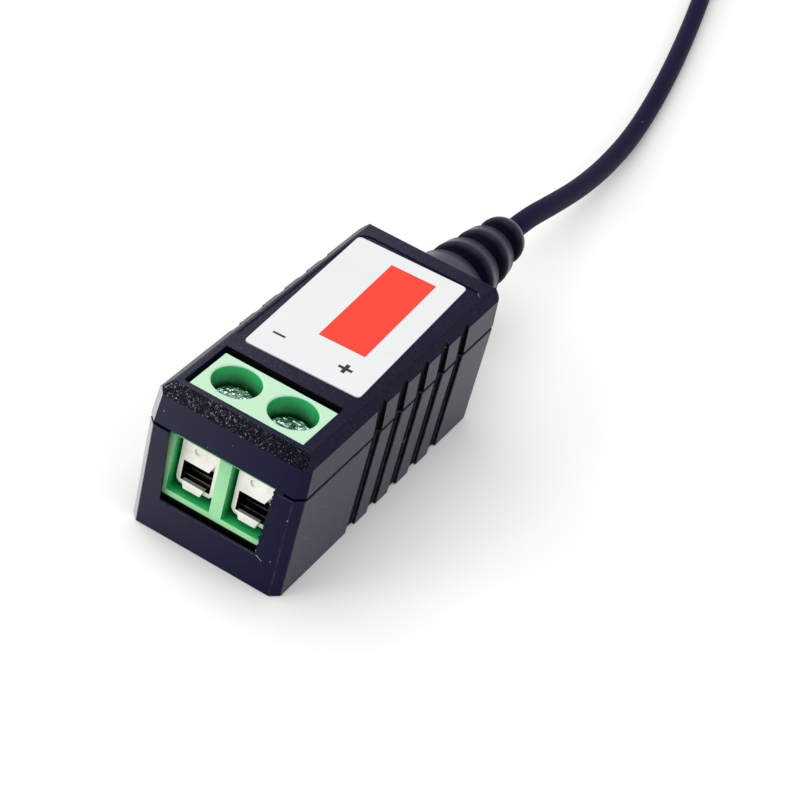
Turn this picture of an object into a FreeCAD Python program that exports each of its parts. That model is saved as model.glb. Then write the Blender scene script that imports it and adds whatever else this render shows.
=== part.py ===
import FreeCAD, Part
import math
import os
import re
import Sketcher
from FreeCAD import Placement, Rotation, Vector

# Passive video balun: a snap-fit case with a two-way screw terminal in its front
# end, and a short coaxial pigtail with a bayonet plug at its back end.
# Millimetres. +X is to the right seen from the terminals, +Y runs back to the
# cable and +Z is up. The origin is under the middle of the case. Pieces of the
# case are drawn from its front face, and their placement moves them back by half
# of its length.

DIMENSIONS = {
    # Case, outside
    "body_length": 31.2,
    "body_height": 13.4,
    "seam_height": 9.75,
    "seam_gap": 0.35,
    "base_draft": 0.1,
    "top_draft": 0.15,
    "base_lean": 0.1,
    "top_lean": 0.35,
    "shoulder_width": 0.75,
    "shoulder_height": 0.8,
    "corner_chamfer": 0.7,
    "back_corner_round": 0.55,
    "top_edge_round": 0.25,
    "brow_depth": 1.15,
    "brow_drop": 0.7,
    # Case, walls and tongue
    "front_wall": 0.85,
    "side_wall": 1.3,
    "back_wall": 1.3,
    "floor_wall": 1.2,
    "top_wall": 1.2,
    "tongue_thickness": 0.35,
    "tongue_height": 0.9,
    "tongue_clearance": 0.05,
    # Grip grooves in both sides
    "groove_count": 5,
    "groove_pitch": 3.38,
    "groove_width": 1.4,
    "groove_start": 10.6,
    "groove_depth": 0.38,
    # Windows for the terminals
    "sill_height": 3.15,
    "wire_window_base_gap": 0.53,
    "wire_window_top_gap": 0.18,
    "window_edge": 0.35,
    "window_rebate_gap": 0.2,
    "window_rebate_floor": 2.6,
    "screw_window_side_gap": 0.27,
    "screw_window_shift": -0.2,
    "screw_window_front": 2.0,
    "screw_window_back_gap": 0.78,
    # Label and its recess
    "recess_side_margin": 1.12,
    "recess_back_margin": 1.75,
    "recess_start": 9.25,
    "recess_depth": 0.12,
    "recess_round": 1.0,
    "label_side_gap": 0.74,
    "label_end_gap": 0.45,
    "label_thickness": 0.1,
    "label_round": 0.4,
    "label_shift": -0.26,
    "label_turn": 2.6,
    # Circuit board and the ribs under it
    "board_lift": 0.9,
    "board_thickness": 1.0,
    "board_side_gap": 0.3,
    "board_front": 0.9,
    "board_back_gap": 1.7,
    "rib_width": 0.8,
    "rib_spacing": 8.4,
    # Terminal block
    "terminal_pitch": 5.08,
    "housing_side_gap": 0.62,
    "housing_drop": 0.05,
    "housing_front": 0.72,
    "housing_back": 7.15,
    "housing_shelf": 6.2,
    "housing_slope_end": 8.3,
    "housing_upper_front": 2.1,
    "entry_floor": 0.88,
    "entry_lintel": 0.6,
    "entry_height": 5.35,
    "pocket_width": 4.0,
    "pocket_back_wall": 0.35,
    "web_height": 7.0,
    "web_thickness": 0.35,
    "well_diameter": 4.0,
    "well_round": 0.15,
    "well_setback": 4.8,
    "fit_clearance": 0.02,
    # Terminal screws
    "screw_diameter": 2.5,
    "screw_hole_clearance": 0.15,
    "screw_point": 0.3,
    "thread_clearance": 0.03,
    "head_diameter": 3.7,
    "head_height": 1.1,
    "head_chamfer": 0.2,
    "cross_span": 2.4,
    "cross_width": 0.6,
    "cross_depth": 0.7,
    # Rising cages
    "cage_width": 3.5,
    "cage_height": 4.3,
    "cage_front": 1.5,
    "cage_depth": 4.8,
    "cage_wall": 0.4,
    "cage_nut": 0.9,
    "cage_bend": 0.6,
    "cage_lift": 0.52,
    "tab_drop": 2.0,
    "tab_slant": 0.82,
    "tab_shoulder": 0.25,
    "dimple_diameter": 0.6,
    "dimple_depth": 0.12,
    "dimple_side": 0.3,
    "dimple_drop": 0.68,
    "lip_width": 2.04,
    "lip_height": 0.75,
    "lip_reach": 0.4,
    "lip_slant": 0.25,
    "cage_rib_count": 4,
    "cage_rib_height": 0.12,
    "cage_rib_width": 0.3,
    "cage_rib_pitch": 0.8,
    # Fixed contact bars with their solder pins
    "bar_width": 2.0,
    "bar_thickness": 0.5,
    "bar_drop": 1.0,
    "bar_setback": 0.5,
    "bar_back_gap": 0.05,
    "leg_thickness": 0.35,
    "pin_width": 0.9,
    "pin_reach": 0.5,
    # Transformer
    "core_outer": 8.4,
    "core_inner": 4.4,
    "core_height": 3.4,
    "core_share": 0.478,
    "wire_size": 0.3,
    "turns_each": 8,
    "winding_spread": 126.0,
    # Small parts on the board
    "small_part_share": 0.743,
    "suppressor_length": 4.0,
    "suppressor_width": 2.6,
    "suppressor_height": 2.2,
    "suppressor_side": 2.9,
    "suppressor_chamfer": 0.25,
    "resistor_diameter": 1.5,
    "resistor_length": 3.6,
    "resistor_cap": 0.7,
    "resistor_cap_diameter": 1.7,
    "resistor_side": -0.6,
    "capacitor_diameter": 4.2,
    "capacitor_thickness": 1.7,
    "capacitor_side": -3.6,
    "capacitor_lift": 0.5,
    "lead_diameter": 0.5,
    # Strain relief
    "cable_height": 7.1,
    "relief_neck": 5.0,
    "relief_flange": 7.2,
    "relief_flange_thickness": 1.1,
    "relief_base": 8.7,
    "relief_tip": 4.3,
    "relief_length": 17.4,
    "relief_tip_round": 0.9,
    "relief_ring_pitch": 3.85,
    "relief_ring_start": 6.75,
    "relief_ring_size": 2.1,
    "relief_ring_standoff": 0.45,
    # Pigtail
    "cable_diameter": 2.0,
    "cable_inner_reach": 2.1,
    "core_wire_diameter": 0.5,
    "screen_wire_diameter": 0.9,
    "wire_landing_share": 0.897,
    # Bayonet plug, along its own axis from its tail
    "plug_side": -5.8,
    "plug_setback": 197.0,
    "grip_length": 25.0,
    "grip_diameter": 10.8,
    "grip_tail": 4.4,
    "grip_taper": 11.0,
    "grip_socket_depth": 8.0,
    "grip_flute_width": 1.0,
    "grip_flute_depth": 0.35,
    "grip_flute_length": 11.0,
    "grip_flutes": 14,
    "shell_spigot": 8.0,
    "shell_bore": 4.4,
    "shell_collar": 10.4,
    "shell_collar_length": 1.0,
    "shell_neck": 8.6,
    "shell_neck_length": 2.9,
    "shell_shoulder_length": 1.2,
    "sleeve_diameter": 8.1,
    "sleeve_bore": 7.0,
    "sleeve_length": 8.8,
    "sleeve_slot": 0.4,
    "sleeve_slot_length": 3.4,
    "sleeve_slots": 4,
    "insulator_length": 4.6,
    "insulator_tail": 4.4,
    "insulator_step": 0.6,
    "pin_diameter": 1.36,
    "pin_barrel": 2.0,
    "pin_barrel_length": 6.8,
    "pin_recess": 0.7,
    "pin_point": 0.35,
    "gasket_thickness": 1.0,
    "gasket_diameter": 9.5,
    "gasket_seat": 8.5,
    "washer_thickness": 0.3,
    "ring_diameter": 14.4,
    "ring_grip_length": 7.0,
    "ring_waist": 12.6,
    "ring_nose": 13.6,
    "ring_nose_length": 4.4,
    "ring_bore": 9.8,
    "ring_length": 13.8,
    "ring_lip": 1.2,
    "ring_clearance": 0.05,
    "ring_start_gap": 0.3,
    "track_width": 2.2,
    "track_depth": 0.9,
    "track_entry": 3.4,
    "lock_setback": 6.2,
}

# Corners of the pigtail's route between the strain relief and the plug, from the
# front face of the case. It sinks to the surface, swings to the left and comes
# back up to the plug, which lies on its coupling ring.
CABLE_CORNERS = [
    (0.0, 58.0, 5.75),
    (-0.3, 66.5, 3.75),
    (-1.0, 75.5, 2.15),
    (-2.2, 85.5, 1.1),
    (-4.4, 98.0, 1.05),
    (-7.6, 112.0, 1.02),
    (-11.3, 126.0, 1.05),
    (-12.2, 139.5, 1.02),
    (-11.6, 152.5, 1.05),
    (-10.0, 164.5, 1.6),
    (-7.9, 176.0, 3.7),
    (-6.1, 187.0, 6.4),
]
CABLE_LEAD_OUT = 3.2
CABLE_LEAD_IN = 4.0

doc = FreeCAD.newDocument("video_balun")
sheet = doc.addObject("Spreadsheet::Sheet", "Sizes")
for row, (name, number) in enumerate(DIMENSIONS.items(), start=1):
    sheet.set(f"A{row}", name)
    sheet.set(f"B{row}", str(number))
    sheet.setAlias(f"B{row}", name)
doc.recompute()

pieces = []


# Reading the sheet and binding to it

def bound(text):
    """Expression in which each dimension is read from the sheet."""
    return re.sub(r"[a-z][a-z_]+", lambda word: f"Sizes.{word[0]}" if word[0] in DIMENSIONS else word[0], text)


def value(text):
    """Number that an expression of dimensions gives."""
    return float(sheet.evalExpression(bound(text)))


def bind(item, prop, text):
    item.setExpression(prop, bound(text))


# Heights and places that several pieces share

BOARD_LOW = "(floor_wall + board_lift)"
BOARD_TOP = f"({BOARD_LOW} + board_thickness)"
ENTRY_FLOOR = f"({BOARD_TOP} + entry_floor)"
WEB_LOW = f"({BOARD_TOP} + web_height)"
WELL_FLOOR = f"({WEB_LOW} + web_thickness)"
HOUSING_TOP = "(body_height - housing_drop)"
SCREW_SEAT = f"({WELL_FLOOR} + fit_clearance)"
POCKET_BACK = "(housing_back - pocket_back_wall)"
CAGE_LOW = f"({ENTRY_FLOOR} + cage_lift)"
BAR_TOP = f"({CAGE_LOW} + cage_height - cage_nut - bar_drop)"
BAR_LOW = f"({BAR_TOP} - bar_thickness)"
LEG_BACK = f"({POCKET_BACK} - bar_back_gap)"
LEG_FRONT = f"({LEG_BACK} - leg_thickness)"
CAVITY_HALF = "(terminal_pitch + housing_side_gap)"
CAVITY_BACK = "(body_length - back_wall)"
BODY_HALF = f"({CAVITY_HALF} + side_wall)"
TOP_HALF = f"({BODY_HALF} - top_draft)"
RECESS_HALF = f"({BODY_HALF} - recess_side_margin)"
RECESS_LENGTH = "(body_length - recess_start - recess_back_margin)"
COVER_BASE = "(seam_height + seam_gap)"
GROOVE_FLOOR = f"({BODY_HALF} - groove_depth)"
BOARD_HALF = f"({CAVITY_HALF} - board_side_gap)"
BOARD_LENGTH = f"({CAVITY_BACK} - board_back_gap - board_front)"
CORE_MIDDLE = f"(board_front + core_share * {BOARD_LENGTH})"
SMALL_PART_MIDDLE = f"(board_front + small_part_share * {BOARD_LENGTH})"
WIRE_LANDING = f"(board_front + wire_landing_share * {BOARD_LENGTH})"
CABLE_START = f"({CAVITY_BACK} - cable_inner_reach)"
RELIEF_END = "(body_length + relief_length)"
PLUG_HEIGHT = "(ring_diameter / 2)"
CABLE_IN_PLUG = "(grip_length - grip_socket_depth + fit_clearance)"
NECK_START = "(grip_length + shell_collar_length)"
NECK_END = f"({NECK_START} + shell_neck_length)"
SLEEVE_START = f"({NECK_END} + shell_shoulder_length)"
SLEEVE_END = f"({SLEEVE_START} + sleeve_length)"
SLEEVE_FLOOR = f"({NECK_END} + insulator_step)"
RING_START = f"({NECK_START} + ring_start_gap)"
RING_END = f"({RING_START} + ring_length)"


# Tools for drawing

def new_body(name, across="0", back="-body_length / 2", up="0"):
    """Body with its own placement, bound to the sheet."""
    body = doc.addObject("PartDesign::Body", name)
    body.Label = name
    for axis, text in zip("xyz", (across, back, up)):
        bind(body, f"Placement.Base.{axis}", text)
    pieces.append(body)
    return body


def origin_part(body, role):
    return [item for item in body.Origin.OriginFeatures if item.Role == role][0]


def draw(body, name, role, outlines, offset="0"):
    """Sketch on one of the body's origin planes, moved along its normal by offset.

    An outline is a list of corners, each a pair of expressions, or a circle as
    ("circle", across, up, radius).
    """
    sketch = body.newObject("Sketcher::SketchObject", f"{body.Name}_{name}")
    sketch.AttachmentSupport = (origin_part(body, role), "")
    sketch.MapMode = "FlatFace"
    bind(sketch, "AttachmentOffset.Base.z", offset)
    for outline in outlines:
        if outline[0] == "circle":
            draw_circle(sketch, *outline[1:])
        else:
            draw_polygon(sketch, outline)
    return sketch


def hold(sketch, geometry, point, across, up):
    """Dimension one point of a sketch from its origin."""
    for kind, text in (("DistanceX", across), ("DistanceY", up)):
        index = sketch.addConstraint(Sketcher.Constraint(kind, -1, 1, geometry, point, value(text)))
        sketch.setExpression(f"Constraints[{index}]", bound(text))


def draw_circle(sketch, across, up, radius):
    centre = Vector(value(across), value(up), 0)
    circle = sketch.addGeometry(Part.Circle(centre, Vector(0, 0, 1), value(radius)), False)
    index = sketch.addConstraint(Sketcher.Constraint("Radius", circle, value(radius)))
    sketch.setExpression(f"Constraints[{index}]", bound(radius))
    hold(sketch, circle, 3, across, up)


def draw_polygon(sketch, corners):
    places = [Vector(value(across), value(up), 0) for across, up in corners]
    count = len(places)
    lines = [sketch.addGeometry(Part.LineSegment(places[k], places[(k + 1) % count]), False) for k in range(count)]
    for k in range(count):
        sketch.addConstraint(Sketcher.Constraint("Coincident", lines[k], 2, lines[(k + 1) % count], 1))
    for line, (across, up) in zip(lines, corners):
        hold(sketch, line, 1, across, up)


def rectangle(left, right, low, high):
    return [(left, low), (right, low), (right, high), (left, high)]


def centred(half_width, half_height):
    return rectangle(f"-({half_width})", half_width, f"-({half_height})", half_height)


def feature(body, kind, name, sketch):
    item = body.newObject(f"PartDesign::{kind}", f"{body.Name}_{name}")
    item.Profile = sketch
    return item


def pad(body, name, sketch, length, both_ways=False, reverse=False):
    item = feature(body, "Pad", name, sketch)
    bind(item, "Length", length)
    item.SideType = "Symmetric" if both_ways else "One side"
    item.Reversed = reverse
    return item


def pocket(body, name, sketch, length, both_ways=False, reverse=False):
    """Cut along a sketch's normal. The volume must fall, or the cut missed."""
    doc.recompute()
    before = body.Shape.Volume
    item = feature(body, "Pocket", name, sketch)
    bind(item, "Length", length)
    item.SideType = "Symmetric" if both_ways else "One side"
    item.Reversed = reverse
    doc.recompute()
    if body.Shape.Volume > before - 1e-6:
        raise RuntimeError(f"{item.Name} cuts nothing")
    return item


def revolve(body, name, sketch, kind="Revolution"):
    """Full turn of a sketch about its own vertical axis."""
    item = feature(body, kind, name, sketch)
    item.ReferenceAxis = (sketch, ["V_Axis"])
    item.Angle = 360
    return item


def near(number, text):
    return abs(number - value(text)) < 1e-4


def ends(edge):
    return [vertex.Point for vertex in edge.Vertexes]


def level_at(edge, text):
    return all(near(point.z, text) for point in ends(edge))


def upright(edge):
    """Whether an edge joins two heights, as a corner of a wall does."""
    points = ends(edge)
    if len(points) < 2:
        return False
    step = points[1] - points[0]
    return abs(step.z) > 2 * math.hypot(step.x, step.y)


def soften(body, kind, name, test, size):
    """Fillet or chamfer the edges of a body's tip that pass a test."""
    doc.recompute()
    base = body.Tip
    names = [f"Edge{number}" for number, edge in enumerate(base.Shape.Edges, start=1) if test(edge)]
    if not names:
        raise RuntimeError(f"no edge of {body.Name} for {name}")
    item = body.newObject(f"PartDesign::{kind}", f"{body.Name}_{name}")
    item.Base = (base, names)
    bind(item, "Radius" if kind == "Fillet" else "Size", size)
    return item


def in_row(body, name, original, role, count, pitch):
    """Repeat a feature along one of the body's origin axes."""
    doc.recompute()
    item = body.newObject("PartDesign::LinearPattern", f"{body.Name}_{name}")
    item.Originals = [original]
    item.Direction = (origin_part(body, role), [""])
    bind(item, "Occurrences", count)
    bind(item, "Length", f"({count} - 1) * {pitch}")
    body.Tip = item
    return item


def around(body, name, original, role, count, sweep="360"):
    """Repeat a feature around one of the body's origin axes."""
    doc.recompute()
    item = body.newObject("PartDesign::PolarPattern", f"{body.Name}_{name}")
    item.Originals = [original]
    item.Axis = (origin_part(body, role), [""])
    bind(item, "Angle", sweep)
    bind(item, "Occurrences", count)
    body.Tip = item
    return item


# Case

def case_block(body, levels, low_front, high_front):
    """Block with leaning sides and front.

    Each level, from the lowest up, is a half width and a height. The fronts are how
    far the front stands back at the lowest and at the highest level.
    """
    right = list(levels)
    left = [(f"-{half}", height) for half, height in reversed(levels)]
    pad(body, "block", draw(body, "end_outline", "XZ_Plane", [right + left], "-body_length"), "body_length")
    low_height = levels[0][1]
    high_height = levels[-1][1]
    front = draw(body, "front_outline", "YZ_Plane", [[
        (low_front, low_height),
        (high_front, high_height),
        ("-body_length", high_height),
        ("-body_length", low_height),
    ]])
    pocket(body, "front", front, "2 * body_length", both_ways=True)
    soften(body, "Chamfer", "front_corners",
           lambda edge: upright(edge) and edge.CenterOfMass.y < value("body_length / 2"), "corner_chamfer")
    soften(body, "Fillet", "back_corners",
           lambda edge: upright(edge) and edge.CenterOfMass.y > value("body_length / 2"), "back_corner_round")


def grip_grooves(body):
    """Upright grooves in both sides, with floors that don't lean with the walls."""
    end = "groove_start + groove_width"
    grooves = draw(body, "groove_plan", "XY_Plane", [
        rectangle(GROOVE_FLOOR, f"2 * {BODY_HALF}", "groove_start", end),
        rectangle(f"-2 * {BODY_HALF}", f"-{GROOVE_FLOOR}", "groove_start", end),
    ])
    cut = pocket(body, "groove", grooves, "3 * body_height", both_ways=True)
    in_row(body, "grooves", cut, "Y_Axis", "groove_count", "groove_pitch")


def cavity_plan(margin):
    return rectangle(f"-{CAVITY_HALF} - {margin}", f"{CAVITY_HALF} + {margin}",
                     f"front_wall - {margin}", f"{CAVITY_BACK} + {margin}")


def make_bottom_case():
    body = new_body("bottom_case")
    case_block(body, [(f"({BODY_HALF} - base_draft)", "0"), (BODY_HALF, "seam_height")], "base_lean", "0")
    grip_grooves(body)
    tongue = draw(body, "tongue_plan", "XY_Plane", [cavity_plan("tongue_thickness")], "seam_height")
    pad(body, "tongue", tongue, "tongue_height")
    cavity = draw(body, "cavity_plan", "XY_Plane", [cavity_plan("0")], "seam_height + tongue_height")
    pocket(body, "cavity", cavity, "seam_height + tongue_height - floor_wall")
    low_half = "(terminal_pitch - wire_window_base_gap)"
    high_half = "(terminal_pitch - wire_window_top_gap)"
    window = draw(body, "wire_window_outline", "XZ_Plane", [[
        (f"-{low_half}", "sill_height"),
        (low_half, "sill_height"),
        (high_half, "seam_height"),
        (high_half, "body_height"),
        (f"-{high_half}", "body_height"),
        (f"-{high_half}", "seam_height"),
    ]])
    pocket(body, "wire_window", window, "front_wall")
    rebate_half = "(terminal_pitch + window_rebate_gap)"
    rebate = draw(body, "window_rebate_outline", "XZ_Plane",
                  [rectangle(f"-{rebate_half}", rebate_half, "window_rebate_floor", "body_height")], "-window_edge")
    pocket(body, "window_rebate", rebate, "front_wall - window_edge")
    cut_relief_slot(body)
    ribs = draw(body, "rib_plan", "XY_Plane", [
        rectangle(f"{side} * rib_spacing / 2 - rib_width / 2", f"{side} * rib_spacing / 2 + rib_width / 2",
                  "front_wall", CAVITY_BACK) for side in ("-1", "1")
    ], "floor_wall")
    pad(body, "ribs", ribs, "board_lift")


def cut_relief_slot(body):
    """Slot in the back wall, open at the seam, that the strain relief drops into."""
    radius = "(relief_neck / 2 + fit_clearance)"
    hole = draw(body, "relief_hole_outline", "XZ_Plane", [("circle", "0", "cable_height", radius)], "-body_length")
    pocket(body, "relief_hole", hole, "back_wall + tongue_thickness", reverse=True)
    slot = draw(body, "relief_slot_outline", "XZ_Plane",
                [rectangle(f"-{radius}", radius, "cable_height", "body_height")], "-body_length")
    pocket(body, "relief_slot", slot, "back_wall + tongue_thickness", reverse=True)


def make_top_cover():
    body = new_body("top_cover")
    levels = [
        (BODY_HALF, COVER_BASE),
        (TOP_HALF, "(body_height - shoulder_height)"),
        (f"({TOP_HALF} - shoulder_width)", "body_height"),
    ]
    case_block(body, levels, "0", "top_lean")
    brow_end = "(top_lean + brow_depth)"
    brow = draw(body, "brow_outline", "YZ_Plane", [[
        (brow_end, "body_height"),
        (brow_end, "2 * body_height"),
        ("-body_height", "2 * body_height"),
        ("-body_height", f"body_height - ({brow_end} + body_height) * brow_drop / brow_depth"),
    ]])
    pocket(body, "brow", brow, "2 * body_length", both_ways=True)
    soften(body, "Fillet", "top_edges",
           lambda edge: level_at(edge, "body_height") and not all(near(point.y, brow_end) for point in ends(edge)),
           "top_edge_round")
    grip_grooves(body)
    cavity = draw(body, "cavity_plan", "XY_Plane", [cavity_plan("0")], COVER_BASE)
    pocket(body, "cavity", cavity, f"body_height - top_wall - {COVER_BASE}", reverse=True)
    rebate = draw(body, "rebate_plan", "XY_Plane", [cavity_plan("(tongue_thickness + tongue_clearance)")],
                  COVER_BASE)
    pocket(body, "rebate", rebate, "tongue_height + tongue_clearance - seam_gap", reverse=True)
    half_window = "(terminal_pitch + screw_window_side_gap)"
    window = draw(body, "screw_window_plan", "XY_Plane", [
        rectangle(f"screw_window_shift - {half_window}", f"screw_window_shift + {half_window}",
                  "screw_window_front", "housing_back + screw_window_back_gap")
    ], "body_height")
    pocket(body, "screw_window", window, "top_wall")
    recess = draw(body, "recess_plan", "XY_Plane", [
        rectangle(f"-{RECESS_HALF}", RECESS_HALF, "recess_start", f"recess_start + {RECESS_LENGTH}")
    ], "body_height")
    pocket(body, "recess", recess, "recess_depth")
    soften(body, "Fillet", "recess_corners",
           lambda edge: upright(edge) and all(near(abs(point.x), RECESS_HALF) for point in ends(edge)),
           "recess_round")


def make_label():
    """Stuck-on sheet, a little askew in its recess."""
    body = new_body("label", "label_shift", f"recess_start + {RECESS_LENGTH} / 2 - body_length / 2",
                    "body_height - recess_depth")
    body.Placement = Placement(body.Placement.Base, Rotation(Vector(0, 0, 1), value("label_turn")))
    bind(body, "Placement.Rotation.Angle", "label_turn")
    plan = draw(body, "plan", "XY_Plane", [
        centred(f"{RECESS_HALF} - label_side_gap", f"{RECESS_LENGTH} / 2 - label_end_gap")
    ])
    pad(body, "sheet", plan, "label_thickness")
    soften(body, "Fillet", "corners", upright, "label_round")


# Screw terminal

def make_terminal_housing():
    body = new_body("terminal_housing")
    side = draw(body, "side_outline", "YZ_Plane", [[
        ("housing_front", BOARD_TOP),
        ("housing_back", BOARD_TOP),
        ("housing_back", HOUSING_TOP),
        ("housing_upper_front", HOUSING_TOP),
        ("housing_upper_front", f"{BOARD_TOP} + housing_slope_end"),
        ("housing_front", f"{BOARD_TOP} + housing_shelf"),
    ]])
    pad(body, "block", side, "2 * terminal_pitch", both_ways=True)
    centres = ["-terminal_pitch / 2", "terminal_pitch / 2"]
    entries = draw(body, "entry_outline", "XZ_Plane", [
        rectangle(f"{centre} - pocket_width / 2", f"{centre} + pocket_width / 2",
                  ENTRY_FLOOR, f"{ENTRY_FLOOR} + entry_height") for centre in centres
    ])
    pocket(body, "entries", entries, "housing_front + entry_lintel")
    chambers = draw(body, "chamber_outline", "XZ_Plane", [
        rectangle(f"{centre} - pocket_width / 2", f"{centre} + pocket_width / 2", ENTRY_FLOOR, WEB_LOW)
        for centre in centres
    ], "-(housing_front + entry_lintel)")
    pocket(body, "chambers", chambers, f"{POCKET_BACK} - housing_front - entry_lintel")
    holes = draw(body, "screw_hole_plan", "XY_Plane", [
        ("circle", centre, "well_setback", "screw_diameter / 2 + screw_hole_clearance") for centre in centres
    ], WELL_FLOOR)
    pocket(body, "screw_holes", holes, "web_thickness")
    wells = draw(body, "well_plan", "XY_Plane", [
        ("circle", centre, "well_setback", "well_diameter / 2") for centre in centres
    ], HOUSING_TOP)
    pocket(body, "wells", wells, f"{HOUSING_TOP} - {WELL_FLOOR}")
    soften(body, "Fillet", "well_rims",
           lambda edge: len(edge.Vertexes) == 1 and level_at(edge, HOUSING_TOP), "well_round")
    slots = draw(body, "pin_slot_plan", "XY_Plane", [pin_slot(centre) for centre in centres], BOARD_TOP)
    pocket(body, "pin_slots", slots, "entry_floor", reverse=True)


def pin_slot(centre):
    """Plan of the hole that a contact's solder pin passes through."""
    half = "(pin_width / 2 + fit_clearance)"
    return rectangle(f"{centre} - {half}", f"{centre} + {half}",
                     f"{LEG_FRONT} - fit_clearance", f"{LEG_BACK} + fit_clearance")


def make_clamp_screw(name, side):
    """Cross-slotted screw, drawn from the underside of its head."""
    body = new_body(name, f"{side} * terminal_pitch / 2", "well_setback - body_length / 2", SCREW_SEAT)
    tip = f"({BAR_TOP} + fit_clearance - {SCREW_SEAT})"
    profile = draw(body, "profile", "XZ_Plane", [[
        ("0", tip),
        ("screw_diameter / 2 - screw_point", tip),
        ("screw_diameter / 2", f"{tip} + screw_point"),
        ("screw_diameter / 2", "0"),
        ("head_diameter / 2", "0"),
        ("head_diameter / 2", "head_height - head_chamfer"),
        ("head_diameter / 2 - head_chamfer", "head_height"),
        ("0", "head_height"),
    ]])
    revolve(body, "screw", profile)
    reach = "cross_span / 2"
    half = "cross_width / 2"
    cross = draw(body, "cross_plan", "XY_Plane", [[
        (reach, f"-{half}"), (reach, half), (half, half), (half, reach),
        (f"-{half}", reach), (f"-{half}", half), (f"-{reach}", half), (f"-{reach}", f"-{half}"),
        (f"-{half}", f"-{half}"), (f"-{half}", f"-{reach}"), (half, f"-{reach}"), (half, f"-{half}"),
    ]], "head_height")
    pocket(body, "cross", cross, "cross_depth")


def make_wire_cage(name, side):
    """Folded cage that the screw lifts against the contact bar, drawn from its underside."""
    body = new_body(name, f"{side} * terminal_pitch / 2", "-body_length / 2", CAGE_LOW)
    half = "cage_width / 2"
    inner = f"({half} - cage_wall)"
    section = draw(body, "section", "XZ_Plane", [
        rectangle(f"-{half}", half, "0", "cage_height"),
        rectangle(f"-{inner}", inner, "cage_wall", "cage_height - cage_nut"),
    ], "-(cage_front + cage_depth)")
    pad(body, "band", section, "cage_depth")
    soften(body, "Fillet", "bends",
           lambda edge: level_at(edge, "0") and near(abs(edge.CenterOfMass.x), half), "cage_bend")
    tab = draw(body, "tab_outline", "XZ_Plane", [[
        (f"-{half}", "cage_height"),
        (f"-{half}", "cage_height - tab_drop"),
        (f"{half} - tab_slant", "cage_height - tab_drop"),
        (half, "cage_height - tab_shoulder"),
        (half, "cage_height"),
    ]], "-(cage_front + cage_wall)")
    pad(body, "tab", tab, "cage_wall")
    dimple = draw(body, "dimple_outline", "XZ_Plane",
                  [("circle", "-dimple_side", "cage_height - dimple_drop", "dimple_diameter / 2")], "-cage_front")
    pocket(body, "dimple", dimple, "dimple_depth")
    lip_foot = "(lip_width / 2 - lip_slant)"
    lip = draw(body, "lip_outline", "XZ_Plane", [[
        (f"-{lip_foot}", "0"), (lip_foot, "0"), ("lip_width / 2", "lip_height"), ("-lip_width / 2", "lip_height"),
    ]], "-cage_front")
    pad(body, "lip", lip, "lip_reach")
    bore = draw(body, "bore_plan", "XY_Plane",
                [("circle", "0", "well_setback", "screw_diameter / 2 + thread_clearance")], "cage_height")
    pocket(body, "bore", bore, "cage_nut")
    rib_start = "(cage_front + cage_rib_pitch)"
    rib = draw(body, "rib_outline", "YZ_Plane", [
        rectangle(rib_start, f"{rib_start} + cage_rib_width", "cage_wall", "cage_wall + cage_rib_height")
    ])
    in_row(body, "ribs", pad(body, "rib", rib, f"2 * {inner}", both_ways=True),
           "Y_Axis", "cage_rib_count", "cage_rib_pitch")


def make_contact_bar(name, side):
    """Fixed bar over the wire, with a leg behind the cage and a solder pin."""
    body = new_body(name, f"{side} * terminal_pitch / 2")
    foot = f"({ENTRY_FLOOR} + fit_clearance)"
    front = "(cage_front + cage_wall + bar_setback)"
    side_view = draw(body, "side_outline", "YZ_Plane", [[
        (front, BAR_LOW),
        (LEG_FRONT, BAR_LOW),
        (LEG_FRONT, foot),
        (LEG_BACK, foot),
        (LEG_BACK, BAR_TOP),
        (front, BAR_TOP),
    ]])
    pad(body, "strip", side_view, "bar_width", both_ways=True)
    pin = draw(body, "pin_outline", "YZ_Plane",
               [rectangle(LEG_FRONT, LEG_BACK, f"{BOARD_LOW} - pin_reach", foot)])
    pad(body, "pin", pin, "pin_width", both_ways=True)


# Circuit board and what it carries

def make_circuit_board():
    body = new_body("circuit_board")
    plan = draw(body, "plan", "XY_Plane", [
        rectangle(f"-{BOARD_HALF}", BOARD_HALF, "board_front", f"board_front + {BOARD_LENGTH}")
    ], BOARD_LOW)
    pad(body, "board", plan, "board_thickness")
    slots = draw(body, "pin_slot_plan", "XY_Plane",
                 [pin_slot(f"{side} * terminal_pitch / 2") for side in ("-1", "1")], BOARD_TOP)
    pocket(body, "pin_slots", slots, "board_thickness")


def make_ferrite_core():
    """Ring core, lying on the wires that pass under it."""
    body = new_body("ferrite_core", "0", f"{CORE_MIDDLE} - body_length / 2",
                    f"{BOARD_TOP} + wire_size + fit_clearance")
    plan = draw(body, "plan", "XY_Plane",
                [("circle", "0", "0", "core_outer / 2"), ("circle", "0", "0", "core_inner / 2")])
    pad(body, "ring", plan, "core_height")


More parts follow.
